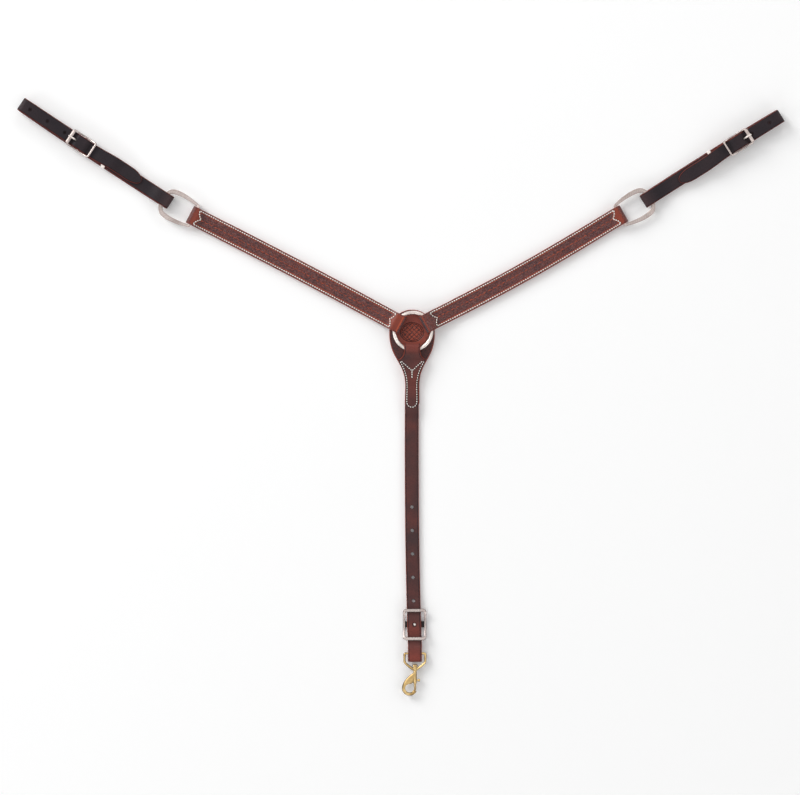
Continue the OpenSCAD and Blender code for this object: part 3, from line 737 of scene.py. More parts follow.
def shoulder(side):
    spot, body, slot = SHOULDER[side], side + "_shoulder", "shoulder_leather"
    low, high = spot.box(body + "_face")
    near, far = low[0], high[0]
    half = (high[1] - low[1]) / 2
    bar = np.hypot(*joint_mm(side + "_dee_tilt")[:2])

    def bow(s, u):
        share = held((u - near - BOW_MARGIN) / (far - near - 2 * BOW_MARGIN))
        return SHOULDER_BOW[side] * np.sin(np.pi * share)

    strap = Strap(spot, shoulder_path(near, far, bar), SHOULDER_T, SHOULDER_STEP, bow=bow)
    top_from, top_to = strap.low_at, strap.high_at
    strap.half = lambda s, u: half + FOLD_EARS * bump(s - top_from - 1, 1.8)
    line = half - STITCH_IN
    ring_end = brace(*(near + x for x in RING_BRACE[side]), line)
    dee_end = brace(*(far - x for x in DEE_BRACE), line)
    rails = [joined(ring_end[k], dee_end[k]) for k in (0, -1)]
    half_way = len(ring_end) // 2

    def end_at(v, end):
        return np.interp(np.abs(v), end[half_way::-1, 1], end[half_way::-1, 0])

    def relief(s, u, v, width):
        top = strap.on_top(s)
        sewn = np.minimum(line_distance(u, v, ring_end), line_distance(u, v, dee_end))
        between = (u > near + RAIL_FROM) & (u < far - RAIL_TO)
        sewn = np.minimum(sewn, np.where(between, np.abs(np.abs(v) - line), 9))
        inside = np.minimum(u - end_at(v, ring_end), end_at(v, dee_end) - u)
        inside = np.minimum(inside, line - np.abs(v)) - 1.5
        zone = held(inside / 0.7) * top
        row = bump(v - 0.4, 2.3)
        height = scales(u - near, v) * (0.55 + 0.45 * row)
        border = bump(inside - 0.2, 0.5) * top
        groove = bump(sewn, 0.6) * top
        crease = bump(width - np.abs(v) - 1.2, 0.32) * top
        # A painted highlight along the crest of the ring fold
        crest = bump(s - top_from - FOLD_CREST, 1.0)
        drop = STAMP_DEPTH * zone * (1 - height) + 0.45 * groove + 0.3 * crease + 0.4 * border
        # Painted shade next to both fold ends, and over a longer stretch on the right shoulder's ring fold
        folds = 0.75 * bump(s - top_from - 3, 1.3) + 0.5 * bump(s - top_to + 2.5, 3)
        folds += FOLD_SHADE[side] * held((top_from + FOLD_END - s) / 6) * top * (1 - crest)
        deep = zone * (0.06 + 0.56 * (1 - height)) * (1 - border) + folds
        deep = held(deep + 0.6 * groove + 0.7 * crease)
        # Stamp crowns are lighter with wear; the middle row's extra lightness is a painted highlight
        tone = zone * height * (0.2 + 1.0 * row) + 0.5 * border + (1 - zone) * 0.12 * top
        tone = held(tone + CREST_HIGHLIGHT[side] * crest)
        return -drop, deep, tone

    columns = even_columns(half, edge=1.0, fine=0.36, coarse=0.5, band=3.6)
    skin, masks = strap.solid(columns, relief)
    make_piece(body + "_leather", skin, SHOULDER_LEATHER, body, body + "_face", masks, LEATHER_SHARP)
    seams = [*rails, ring_end, dee_end]
    stitching(body + "_stitching", strap, seams, [SHOULDER_STITCH] * len(seams), body)

    low, high = spot.box(body + "_lining")
    back = joined([low[0], SHOULDER_T / 2], [high[0], SHOULDER_T / 2])
    lining = Strap(spot, back, SHOULDER_T, LINING_STEP, lambda s, u: half + LINING_MORE + 0 * s, bow)
    skin, masks = lining.solid(even_columns(half, edge=1.0, fine=0.8, coarse=3, band=2.4))
    make_piece(body + "_backing", skin, SHOULDER_LEATHER, body, body + "_lining", masks, LEATHER_SHARP)


for side_name in SIDES:
    shoulder(side_name)


# Shield and tie-down
SHIELD_SIDE = curve(
    [SHIELD_DROP, SHIELD_R], [SHIELD_PULL, SHIELD_R], [SHIELD_PULL, TIE_HALF], [SHIELD_NECK, TIE_HALF], 60
)
OVAL_AT = 1.4
OVAL = (13.2, 15.9)
OVAL_PITCH = 6.4
RIM_START = 0.955


def shield_outline():
    tail = arc([SHIELD_REACH - TIE_HALF, 0], TIE_HALF, 90, 0, 16)
    half = joined(arc([SHIELD_DROP, 0], SHIELD_R, 180, 90, 40), SHIELD_SIDE, tail)
    return np.concatenate([half, half[-2:0:-1] * [1, -1], half[:1]])


def medallion(u, v):
    """Drop, darkness and lighter raised parts of the plain stamped oval inside the ring."""
    oval = np.hypot((u - OVAL_AT) / OVAL[0], v / OVAL[1])
    line = bump(oval - 1, 0.035) + bump(oval - 0.87, 0.03)
    rope = bump(oval - 0.935, 0.03)
    weave = held((0.83 - oval) / 0.03)
    height = basket(u - OVAL_AT, v, OVAL_PITCH)
    drop = 0.75 * weave * (1 - height) + 0.6 * line - 0.25 * rope
    dark = held(0.85 * weave * (1 - height) ** 1.3 + 0.95 * line)
    return drop, dark, held(rope + weave * height)


def shield():
    """The teardrop behind the ring, on a polar grid, with a plain stamped oval in the ring."""
    outline = resample(shield_outline(), STRAP_STEP)[1][:-1]
    size = np.linalg.norm(outline, axis=1)
    first = np.minimum((RING_R - RING_WIRE / 2 + 1) / size, 0.55)
    rings, masks = [], {name: [] for name in MASKS}

    def add(points, z, *values):
        rings.append(xyz(points[:, 0], points[:, 1] + SHIELD_SHIFT, z))
        for name, value in zip(MASKS, values):
            masks[name].append(np.broadcast_to(value, len(outline)))

    inner = [first * share for share in np.linspace(0.02, 1, 56)]
    outer = [first + (RIM_START - first) * share for share in np.linspace(0.06, 1, 14)]
    for reach in inner + outer:
        p = outline * reach[:, None]
        drop, dark, tone = medallion(*p.T)
        shade = held((np.hypot(*p.T) - RING_R + 4) / 4)
        add(p, SHIELD_T - drop, held(dark + 0.75 * shade), (1 - shade) * (0.15 + 0.75 * tone), 0, 0)
    for a in np.radians((60, 25, 0, -25, -60)):
        p = outline - unit(outline) * (1 - math.cos(a) ** EDGE_POWER)
        add(p, SHIELD_T / 2 * (1 + math.sin(a)), 0.2, 0, 0.85, 0)
    for share in (RIM_START, 0.5, 0.02):
        add(outline * share, 0.0, 0, 0, 0, 1)
    masks = {name: np.concatenate(values) for name, values in masks.items()}
    make_piece("shield_leather", loft(rings, spot=TIE), RING_LEATHER, "yoke",
               "ring_shield", masks, LEATHER_SHARP)


shield()

tie_low, tie_high = TIE.box("tie_down_strap")
conway_low, conway_high = TIE.box("conway_buckle")
TIE_LEN = tie_high[0]
HEAD_FOLD = tie_low[0]
HEAD_HALF = 11.8
CONWAY_AT = (conway_low[0] + conway_high[0]) / 2
CONWAY_LEN = conway_high[0] - conway_low[0]
CONWAY_W = conway_high[1] - conway_low[1]
LOOP_BAR = np.hypot(*joint_mm("snap_loop_tilt")[:2])
SNAP_Z = joint_mm("snap_loop_tilt")[2]
TIE_BOW = curve([15, -0.9], [150, -3.2], [300, -4.0], [430, 0.2], 40)
VEE_TIP = (54, 0)
VEE_ENDS = ((40.5, -15.2), (40.8, 14.2))
STEM_END = (64, 0)
SEAM_RUN = (41, 92)
SEAM_TURN = (96, 6.8)
SEAM_ROUND = (97, 6.6)
VEE_STITCH = (3.2, 1.8, 0.54)
STEM_STITCH = (3.4, 2.2, 0.68)
SEAM_STITCH = (3.3, 1.8, 0.52)


def tie_path():
    t = TIE_T
    low, two = t / 2, 1.5 * t + PLY_GAP
    head_low = SHIELD_T + PLY_GAP + t / 2
    head_two = head_low + t + PLY_GAP
    head_r = RING_Z - head_low
    snap_top = SNAP_Z + LOOP_WIRE / 2 + LOOP_GAP + t / 2
    turn = CONWAY_AT - CONWAY_LEN / 2 - 2
    lift = CONWAY_LIFT + PLY_GAP
    flat = CONWAY_MID / 2 + 0.8
    foot = CONWAY_LEN / 2 - CONWAY_END - 2
    fold_r = (snap_top - low) / 2
    outer = RING_R + RING_WIRE / 2
    c = CONWAY_AT

    def step(end, high, low):
        """The strap comes down off a layer that ends below it."""
        return ramp([end + STEP_GAP, high], [end + STEP_GAP + STEP_RUN, low])

    return joined(
        [HEAD_TURN, head_low],
        arc([HEAD_FOLD + head_r + t / 2, RING_Z], head_r, 270, 90),
        ramp([outer - 1, RING_Z + head_r], [outer + STEP_RUN, head_two]),
        step(HEAD_TURN, head_two, head_low),
        step(SHIELD_REACH, head_low, low),
        ramp([turn - STEP_GAP - STEP_RUN, low], [turn - STEP_GAP, two]),
        ramp([c - foot, two], [c - flat, two + lift]),
        ramp([c + flat, two + lift], [c + foot, two]),
        ramp([LOOP_BAR - RISE_FROM, two], [LOOP_BAR - RISE_TO, snap_top]),
        arc([TIE_LEN - fold_r - t / 2, low + fold_r], fold_r, 90, -90),
        ramp([c + foot, low], [c + flat, low + lift]),
        ramp([c - flat, low + lift], [c - foot, low]),
        [turn, low],
    )


def tie_bow(s, u):
    return np.interp(u, TIE_BOW[:, 0], TIE_BOW[:, 1], TIE_BOW[0, 1], 0)


def tie_outline():
    """Half the tie-down's outline from above: flared head, then the plain strap."""
    edge = SHIELD_SIDE[len(SHIELD_SIDE) // 2 :] - [0, 0.4]
    start = edge[0]
    pulls = [start[0] - 8.5, HEAD_HALF - 2.4], [start[0] - 4.25, HEAD_HALF]
    flare = curve([HEAD_FOLD, HEAD_HALF], *pulls, start, 20)
    outline = joined([HEAD_FOLD - 1, HEAD_HALF], flare, edge, [94, TIE_HALF], [TIE_LEN + 1, TIE_HALF])
    return outline[np.argsort(outline[:, 0], kind="stable")].T


def tie_down():
    outline = tie_outline()
    strap = Strap(TIE, tie_path(), TIE_T, STRAP_STEP, lambda s, u: np.interp(u, *outline), tie_bow)
    top_from, top_to = strap.low_at, strap.high_at
    places = [strap.reach(CONWAY_AT - i * TIE_PITCH, top_from, top_to) for i in range(TIE_HOLES)]
    places.append(strap.reach(CONWAY_AT, top_to, strap.s[-1]))
    along = np.linspace(*SEAM_RUN, 40)
    edge = joined(np.stack([along, np.interp(along, *outline) - STITCH_IN], 1), SEAM_TURN)
    bottom = arc([SEAM_ROUND[0], 0], SEAM_ROUND[1], 90, -90, 20)
    seams = [joined(VEE_ENDS[0], VEE_TIP), joined(VEE_TIP, VEE_ENDS[1]), joined(VEE_TIP, STEM_END)]
    seams.append(joined(edge, bottom, edge[::-1] * [1, -1]))

    def relief(s, u, v, width):
        top = strap.on_top(s)
        sewn = np.min([line_distance(u, v, line) for line in seams], axis=0)
        groove = bump(sewn, 0.65) * top
        crease = bump(width - np.abs(v) - 1.6, 0.6) * top
        drop = 0.4 * groove + 0.25 * crease
        deep = held(0.85 * groove + 0.85 * crease)
        tone = 0.6 * bump(u - HEAD_FOLD - 4, 9) + 0.85 * bump(u - TIE_LEN, 20)
        tone += 0.3 * bump(u - 70, 26) + 0.5 * bump(u - CONWAY_AT - 8, 10)
        return -drop, deep, held(tone)

    columns = even_columns(TIE_HALF, edge=1.0, fine=0.4, coarse=0.75, band=2.8)
    skin, masks = strap.solid(columns, relief, [(s, 0.0, TIE_PUNCH_R) for s in places])
    make_piece("tie_down_leather", skin, TIE_LEATHER, "yoke", "tie_down_strap",
               masks, LEATHER_SHARP)
    sizes = [VEE_STITCH, VEE_STITCH, STEM_STITCH, SEAM_STITCH]
    stitching("tie_down_stitching", strap, seams, sizes, "yoke")


tie_down()


# Tugs
SADDLE_TOP = 2 * TUG_T + 8.6


def buckle_places(side):
    """Buckle centre along the tug, half its length, and the heights of its bars."""
    bar, roller = joint_mm(side + "_tongue_lift"), joint_mm(side + "_roller_turn")
    b = np.linalg.norm(bar[:2] - TUG[side].origin)
    return b, np.linalg.norm(roller[:2] - bar[:2]), bar[2], roller[2]


def tug_path(b, half, bar_z, end_z, fold, end):
    """From the billet's point through the buckle, round the saddle loop and the dee, to the chape."""
    t = TUG_T
    low, two, three = t / 2, 1.5 * t + PLY_GAP, 2.5 * t + 2 * PLY_GAP
    keeper_room = KEEPER_T + 2 * PLY_GAP
    chape_low = t + keeper_room + t / 2
    chape_top = chape_low + t + PLY_GAP
    wrap = BUCKLE_BAR / 2 + LOOP_GAP + t / 2
    crest = bar_z + wrap + t + PLY_GAP
    heel = chape_top + t + PLY_GAP
    toe = end_z - ROLLER_D / 2 - LOOP_GAP - t / 2
    over = chape_top + t / 2 + keeper_room + t / 2
    dee_top = DEE_Z + DEE_T / 2 + LOOP_GAP + t / 2
    dee_r = (dee_top - low) / 2
    saddle_top = SADDLE_TOP - t / 2
    saddle_r = (saddle_top - low) / 2
    turn = half + KEEPER_BACK + 5
    clear = DEE_ARC_R + 2
    return joined(
        [b - turn, chape_low],
        arc([b, bar_z], wrap, -90, 90),
        ramp([b - 1, bar_z + wrap], [b - 11, chape_top]),
        ramp([b - turn - 1, chape_top], [b - turn - 15, two]),
        ramp([clear + 20, two], [clear, dee_top]),
        arc([fold + dee_r + t / 2, low + dee_r], dee_r, 90, 270),
        arc([end - saddle_r - t / 2, low + saddle_r], saddle_r, -90, 90),
        ramp([end - saddle_r - 4, saddle_top], [b + half + 5, toe]),
        ramp([b + half - 4, toe], [b + half - DIP_FROM, crest]),
        ramp([b - CREST_HALF, crest], [b - half + 4, heel]),
        ramp([b - half - 4, heel], [b - half - 14, over]),
        ramp([b - turn - 2, over], [b - turn - 20, three]),
        [b - BILLET_END, three],
    )[::-1]


def tug(side):
    body = side + "_tug"
    low, high = TUG[side].box(body + "_strap")
    b, half, bar_z, end_z = buckle_places(side)
    width = (high[1] - low[1]) / 2
    path = tug_path(b, half, bar_z, end_z, low[0], high[0])
    point = curve([0, 0.2], [0, width / 2], [BILLET_POINT / 3, width], [BILLET_POINT, width], 40)
    strap = Strap(TUG[side], path, TUG_T, STRAP_STEP, lambda s, u: np.interp(s, *point.T))
    far_s, dee_s = strap.high_at, strap.low_at

    def lie(s, u):
        """How far the plies lie out of line with each other."""
        under = held((s - far_s) / (dee_s - far_s))
        chape = held((s - dee_s) / (strap.s[-1] - dee_s))
        loose = held((b - half - u) / SHIFT_RUN) * (s < far_s)
        shift = UNDER_SHIFT * np.sin(np.pi * under) ** 0.5 + CHAPE_SHIFT * np.sin(np.pi * chape)
        return shift + BILLET_SHIFT * loose**2 * (3 - 2 * loose)

    strap.bow = lie
    first = b + HOLE_AT[side]
    count = int((high[0] - first - HOLE_MARGIN) // BILLET_PITCH) + 1
    punched = [(first + i * BILLET_PITCH, PUNCH_R) for i in range(count)]
    punched.append((b + half - DIP_HOLE, TONGUE_PUNCH_R))
    holes = [(strap.reach(u, 0, far_s), 0.0, r) for u, r in punched]

    def relief(s, u, v, width):
        crease = bump(width - np.abs(v) - 1.3, 0.35)
        tone = held(0.85 * bump(s - dee_s, 13) + 0.35 * bump(s - far_s, 9))
        return -0.22 * crease, held(0.6 * crease), tone

    columns = even_columns(width, edge=1.4, fine=0.4, coarse=0.75, band=2.8)
    skin, masks = strap.solid(columns, relief, holes, edge=1.2)
    make_piece(body + "_leather", skin, TUG_LEATHER, body, body + "_strap",
               masks, LEATHER_SHARP)


for side_name in SIDES:
    tug(side_name)


# Hardware
def rounded_loop(half_u, half_v, r, step):
    """A closed rounded rectangle, as (u, v) points."""
    corners = [(1, 1, 0), (-1, 1, 90), (-1, -1, 180), (1, -1, 270)]
    parts = [arc([su * (half_u - r), sv * (half_v - r)], r, a, a + 90, 10) for su, sv, a in corners]
    return resample(joined(*parts, parts[0][0]), step)[1][:-1]


def centre_ring():
    t = circle(HUB_STEPS)
    path = xyz(RING_R * np.cos(t), RING_R * np.sin(t), RING_Z)
    skin = sweep(path, section(RING_WIRE, RING_WIRE, 2, HUB_RING), closed=True, spot=TIE)
    # Painted shade along the ring's sides
    masks = {"deep": edge_lines(skin, HUB_RING, level=0.82)}
    make_piece("hub_ring", skin, NICKEL, "ring", "centre_ring", masks)


def dee_line(arc_at, r, last, turn, pull, bulge):
    """Half an outline of a dee: its end arc, then a side curve to its bar."""
    a = math.radians(turn)
    end = np.array([arc_at + r * math.cos(a), r * math.sin(a)])
    away = pull * np.array([-math.sin(a), math.cos(a)])
    side = curve(end, end + away, [13, last[1] + bulge], last, 60)
    return spread(joined(arc([arc_at, 0], r, 0, turn, 40), side), DEE_STEPS)[1]


def dee(side):
    spot = DEE[side]
    points = spot.points(side + "_dee")
    arc_at = np.linalg.norm(joint_mm(side + "_tug_swing")[:2] - spot.origin)
    half = points[:, 0].max() - arc_at
    bar_half = np.abs(points[points[:, 0] < BAR_FACE, 1]).max() - DEE_SIDE / 2
    outer = dee_line(arc_at, half, [-DEE_BAR / 2, bar_half + DEE_SIDE / 2], turn=40, pull=9, bulge=6)
    inner = dee_line(arc_at, half - DEE_SIDE, [0, bar_half], turn=36, pull=7.4, bulge=2.2)
    centre, wide = (outer + inner) / 2, np.linalg.norm(outer - inner, axis=1)
    keep = centre[:, 0] > 3.2
    centre, wide = centre[keep], wide[keep]
    last = centre[-1]
    corner = curve(last, last + [-2.4, -0.6], [0, last[1] - 0.4], [0, last[1] - 3.4], 14)[1:]
    bar = np.stack([np.zeros(30), np.linspace(last[1] - 3.6, 0, 30)], 1)

    def run(side_value, bar_value):
        """A value round the dee: the side's, then a change at the corner to the bar's, and back."""
        start = np.broadcast_to(side_value, len(wide))
        change = np.linspace(start[-1], bar_value, len(corner))
        values = np.concatenate([start, change, np.full(len(bar), bar_value)])
        return np.concatenate([values, values[-2:0:-1]])

    line = np.concatenate([centre, corner, bar])
    path = xyz(*np.concatenate([line, line[-2:0:-1] * [1, -1]]).T, DEE_Z)
    widths, heights, powers = run(wide, DEE_BAR), run(DEE_T, DEE_BAR), run(DEE_POWER, 2)
    shapes = [section(w, h, p, DEE_RING) for w, h, p in zip(widths, heights, powers)]
    shade = []
    for shape, w, flat, s in zip(shapes, widths, held((powers - 3) / 1.1), lengths(path)):
        share = np.abs(shape[:, 0]) / (w / 2)
        above = flat * (shape[:, 1] > 0)
        band = above * held((BAND_EDGE - share) / 0.08)
        rim = above * bump(share - BAND_EDGE, 0.07)
        hatch = 0.5 + 0.5 * np.sin(2 * np.pi * (s / HATCH_PITCH + shape[:, 0] / w))
        shape[:, 1] -= BAND_SINK * band
        # Painted shade along the band's rims and the casting's outer edge; the hatch is a pattern in the band
        shade.append(held(0.6 * rim + band * (0.04 + 0.22 * hatch) + 0.6 * (share > 0.97)))
    skin = sweep(path, shapes, closed=True, spot=spot)
    make_piece(side + "_dee_casting", skin, MATTE_NICKEL, side + "_dee", side + "_dee",
               {"deep": np.concatenate(shade)})


def buckle(side):
    spot = TUG[side]
    b, half, bar_z, end_z = buckle_places(side)
    low, high = spot.box(side + "_buckle_frame")
    wide = (high[1] - low[1]) / 2 - BUCKLE_RAIL / 2
    loop = rounded_loop(half, wide, r=2.2, step=0.4)
    z = bar_z + (end_z - bar_z) * (loop[:, 0] / half) ** 2
    end = held((np.abs(loop[:, 0]) - half + 2.4) / 2.0)
    more = BUCKLE_BAR - BUCKLE_RAIL
    shapes = [section(BUCKLE_RAIL + more * e, BUCKLE_BAR - 0.3 * (1 - e), 3 - e) for e in end]
    rail = sweep(xyz(loop[:, 0] + b, loop[:, 1], z), shapes, closed=True, spot=spot)
    rod = sweep(xyz(b, np.linspace(-wide, wide, 30), bar_z), section(BUCKLE_BAR, BUCKLE_BAR, 2), spot=spot)
    skin = merged([rail, rod])
    # Painted shade along the frame's sides
    make_piece(side + "_buckle_casting", skin, SATIN_NICKEL, side + "_tug", side + "_buckle_frame",
               {"deep": edge_lines(skin, WIRE_RING, level=0.6)})

    low, high = spot.box(side + "_buckle_roller")
    tip = (high[1] - low[1]) / 2
    r, bore, soft = ROLLER_D / 2, BUCKLE_BAR / 2 + 0.05, ROLLER_SOFT
    lip = [(tip - 0.4, bore), (tip, bore + 0.1), (tip, r - soft)]
    lip += [(tip - soft * 0.3, r - soft * 0.3), (tip - soft, r)]
    profile = [(-x, y) for x, y in lip] + [(x, r) for x in np.linspace(1 - tip, tip - 1, 12)] + lip[::-1]
    skin = revolve(profile, (b + half, 0, end_z), (0, 1, 0), closed=True, spot=spot)
    make_piece(side + "_roller_tube", skin, MATTE_NICKEL, side + "_roller", side + "_buckle_roller")

    eye = BUCKLE_BAR / 2 + TONGUE_T / 2 + 0.05
    rest = end_z + ROLLER_D / 2 + LAY_GAP / 2 + TONGUE_T / 2
    line = joined(arc([0, bar_z], eye, 20, -270, 60),
                  ramp([half - DIP_FROM, bar_z + eye + 0.3], [half - TONGUE_REST, rest]),
                  [half + ROLLER_D / 2, rest])
    s, line = resample(line, 0.5)
    tangent = unit(np.gradient(line, axis=0))
    taper = held((s[-1] - s) / 12)
    shapes = [section(TONGUE_W * (0.8 + 0.2 * a), TONGUE_T * (0.75 + 0.25 * a), 3, 20) for a in taper]
    skin = sweep(xyz(line[:, 0] + b, 0, line[:, 1]), shapes, xyz(-tangent[:, 1], 0, tangent[:, 0]),
                 spot=spot, rounded=0.5)
    make_piece(side + "_tongue_wire", skin, NICKEL, side + "_tongue", side + "_buckle_tongue")

    low, high = spot.box(side + "_chape_keeper")
    at, middle = (low[0] + high[0]) / 2, (low[2] + high[2]) / 2
    wide = (high[1] - low[1] - KEEPER_T) / 2 + KEEPER_MORE
    loop = rounded_loop((high[2] - low[2] - KEEPER_T) / 2, wide, r=0.9, step=0.3)
    path = xyz(at, loop[:, 1] + KEEPER_SHIFT, loop[:, 0] + middle)
    skin = sweep(path, section(KEEPER_T, high[0] - low[0], 4), (1, 0, 0), closed=True, spot=spot)
    make_piece(side + "_keeper_band", skin, NICKEL, side + "_tug", side + "_chape_keeper")


def conway():
    top = 2 * TIE_T + PLY_GAP + LOOP_GAP + CONWAY_T / 2
    half_u, half_v = (CONWAY_LEN - CONWAY_END) / 2, (CONWAY_W - CONWAY_SIDE) / 2
    loop = rounded_loop(half_u, half_v, r=3.2, step=0.5)
    x = held(np.abs(loop[:, 0]) / (half_u - 1.5))
    z = CONWAY_T / 2 + (top - CONWAY_T / 2) * x**2
    end = held((np.abs(loop[:, 0]) - half_u + 3.4) / 3.0)
    shapes = [section(CONWAY_SIDE + (CONWAY_END - CONWAY_SIDE) * e, CONWAY_T, 2.7) for e in end]
    rim = sweep(xyz(loop[:, 0] + CONWAY_AT, loop[:, 1], z), shapes, closed=True, spot=TIE)
    # Painted shade along the frame's sides
    make_piece("conway_frame", rim, SATIN_NICKEL, "yoke", "conway_buckle",
               {"deep": edge_lines(rim, WIRE_RING, level=0.52)})
    path = xyz(CONWAY_AT, np.linspace(-half_v - 0.5, half_v + 0.5, 24), CONWAY_LIFT / 2)
    bar = sweep(path, section(CONWAY_MID, CONWAY_LIFT, 6), spot=TIE)
    # The centre bar is near black as painted shade under the strap
    make_piece("conway_centre_bar", bar, SHADE_DARK_STEEL, "yoke")
    base = 2 * TIE_T + PLY_GAP + CONWAY_LIFT + 0.2 - STUD_DOME
    turns = np.linspace(0, 1.5, 12)
    profile = [(base + STUD_DOME * math.sin(a), STUD_R * math.cos(a) ** 0.8) for a in turns]
    stud = revolve([(0.4, STUD_R), *profile], (CONWAY_AT, 0, 0), (0, 0, 1), 32, side=(1, 0, 0))
    make_piece("conway_stud", stud, NICKEL, "yoke")


centre_ring()
for side_name in SIDES:
    dee(side_name)
    buckle(side_name)
conway()


# Snap
SWIVEL_AT = np.hypot(*joint_mm("snap_swivel")[:2])
BOSS_LEN = 6.8
BOSS_BORE = 1.65
BARREL_LEN = 16.6
BARREL_R = 2.5
POST_R = 1.55
HEAD_R = 4.1
HEAD_T = 2.4
HEAD_DOME = 1.7
HOOK_R = 8.1
HOOK_WIRE = 4.6
HOOK_TIP = 66
HOOK_SIDE = -7.5
HOOK_RING = 28
HOOK_STEPS = 120
BOSS_AT = SWIVEL_AT - LAY_GAP - BOSS_LEN
BARREL_END = SWIVEL_AT + BARREL_LEN
HOOK_AT = BARREL_END + 6.4
BOLT_R = 1.4
BOLT_RING = 28
BOLT_BORE = BOLT_R + 0.05
SPRING_TURNS = 5
SPRING_WIRE = 0.4
BRASS_EDGE = (0.6, 0.32)
KNOB_AT = SWIVEL_AT + 12.2
KNOB_R = 2.0
SNAP_AXIS = (1, 0, 0)


def brass_piece(name, body, node, *parts):
    """A brass piece with painted shade along its edges, from (skin, points in a ring, whether it was turned).
    """
    shade = [edge_lines(skin, ring, *BRASS_EDGE, turned) for skin, ring, turned in parts]
    skin = merged([part[0] for part in parts])
    make_piece(name, skin, BRASS, body, node, {"deep": np.concatenate(shade)})


def ribbon(outer, inner, heights, power):
    """A skin between two edges of equal count, domed above and below the snap's middle plane."""
    middle, half = (outer + inner) / 2, (outer - inner) / 2
    rings = []
    for m, h, tall in zip(middle, half, heights):
        shape = section(2, tall, power, HOOK_RING)
        rings.append(xyz(*(m + shape[:, :1] * h).T, SNAP_Z + shape[:, 1]))
    return loft(rings, spot=TIE)


def swivel_loop():
    low, high = TIE.box("snap_swivel_loop")
    half = (high[1] - low[1]) / 2 - LOOP_WIRE / 2
    side_at = LOOP_BAR + 10.1
    shoulder_at = [LOOP_BAR + 3, half]
    arm = curve([side_at, half], [side_at + 3.6, half], [BOSS_AT - 0.6, half - 4.7],
                [BOSS_AT + BOSS_LEN - 2.4, 2.4], 40)
    corner = curve([LOOP_BAR, half - 3.5], [LOOP_BAR, half - 0.6], [LOOP_BAR + 0.3, half], shoulder_at, 12)
    bar = np.stack([np.full(20, LOOP_BAR), np.linspace(0, half - 3.6, 20)], 1)
    line = joined(arm[::-1], corner[::-1], bar[::-1])
    line = resample(np.concatenate([line, line[-2::-1] * [1, -1]]), 0.5)[1]
    knuckle = 1 + 0.14 * bump(np.abs(line[:, 1]) - half, 1.6) * bump(line[:, 0] - LOOP_BAR - 0.6, 3.2)
    neck = 1 + 0.15 * held((line[:, 0] - BOSS_AT + 3) / 6)
    shapes = [section(LOOP_WIRE * k * n, LOOP_WIRE * k, 2.2) for k, n in zip(knuckle, neck)]
    wire = sweep(xyz(*line.T, SNAP_Z), shapes, spot=TIE)
    profile = [(0.0, BOSS_BORE), (0.05, 2.6), (0.5, 3.05), (1.6, 3.15), (3.0, 3.0), (4.2, 2.8), (5.2, 2.85),
               (6.0, 3.05), (6.5, 2.9), (BOSS_LEN, 2.4), (BOSS_LEN, BOSS_BORE)]
    boss = revolve(profile, (BOSS_AT, 0, SNAP_Z), SNAP_AXIS, closed=True)
    brass_piece("swivel_loop_casting", "snap_loop", "snap_swivel_loop",
                (wire, WIRE_RING, False), (boss, TURN_RING, True))


def snap_body():
    head, start, end = BOSS_AT - LAY_GAP - HEAD_T, SWIVEL_AT, BARREL_END
    turns = np.radians(np.linspace(85, 0, 10))
    post = [(head + HEAD_DOME * (1 - math.sin(a)), HEAD_R * math.cos(a)) for a in turns]
    post += [(head + 2.2, HEAD_R - 0.1), (head + HEAD_T, HEAD_R - 0.5), (head + HEAD_T, POST_R)]
    post += [(start + 0.1, POST_R), (start + 0.1, 2.1), (start + 0.5, 2.4), (start + 1.4, BARREL_R),
             (start + 3, BARREL_R - 0.1), (start + 9, BARREL_R - 0.05)]
    post += [(end - 2, BARREL_R), (end - 0.5, BARREL_R), (end - 0.1, BARREL_R - 0.3), (end, BOLT_R + 0.3)]
    post += [(end - 0.4, BOLT_BORE), (start + 2, BOLT_BORE), (start + 1.6, 0.0)]
    barrel = revolve(post, (0, 0, SNAP_Z), SNAP_AXIS)
    centre = np.array([HOOK_AT, HOOK_SIDE])
    reach, opening = HOOK_R + HOOK_WIRE / 2, HOOK_R - HOOK_WIRE / 2
    low = HOOK_SIDE - reach
    lead = curve([start + 1.6, -1.6], [start + 5.8, HOOK_SIDE - 1], [HOOK_AT - 8.8, low], [HOOK_AT, low], 40)
    outer = joined(lead, arc(centre, reach, -90, HOOK_TIP, 60))
    web = curve([start + 1.8, 0], [end - 6, -1.0], [end - 0.5, -0.4], centre + [-opening, 1.2], 30)
    inner = joined(web, arc(centre, opening, 170, 360 + HOOK_TIP, 90))
    outer, inner = (spread(line, HOOK_STEPS)[1] for line in (outer, inner))
    share = np.linspace(0, 1, HOOK_STEPS)
    heights = np.interp(share, [0, 0.1, 0.4, 0.8, 0.97, 1], [3.4, 4.2, 4.6, 4.6, 3.6, 2.4])
    hook = ribbon(outer, inner, heights, power=2.4)
    brass_piece("snap_hook_casting", "snap", "snap_body", (barrel, TURN_RING, True), (hook, HOOK_RING, False))


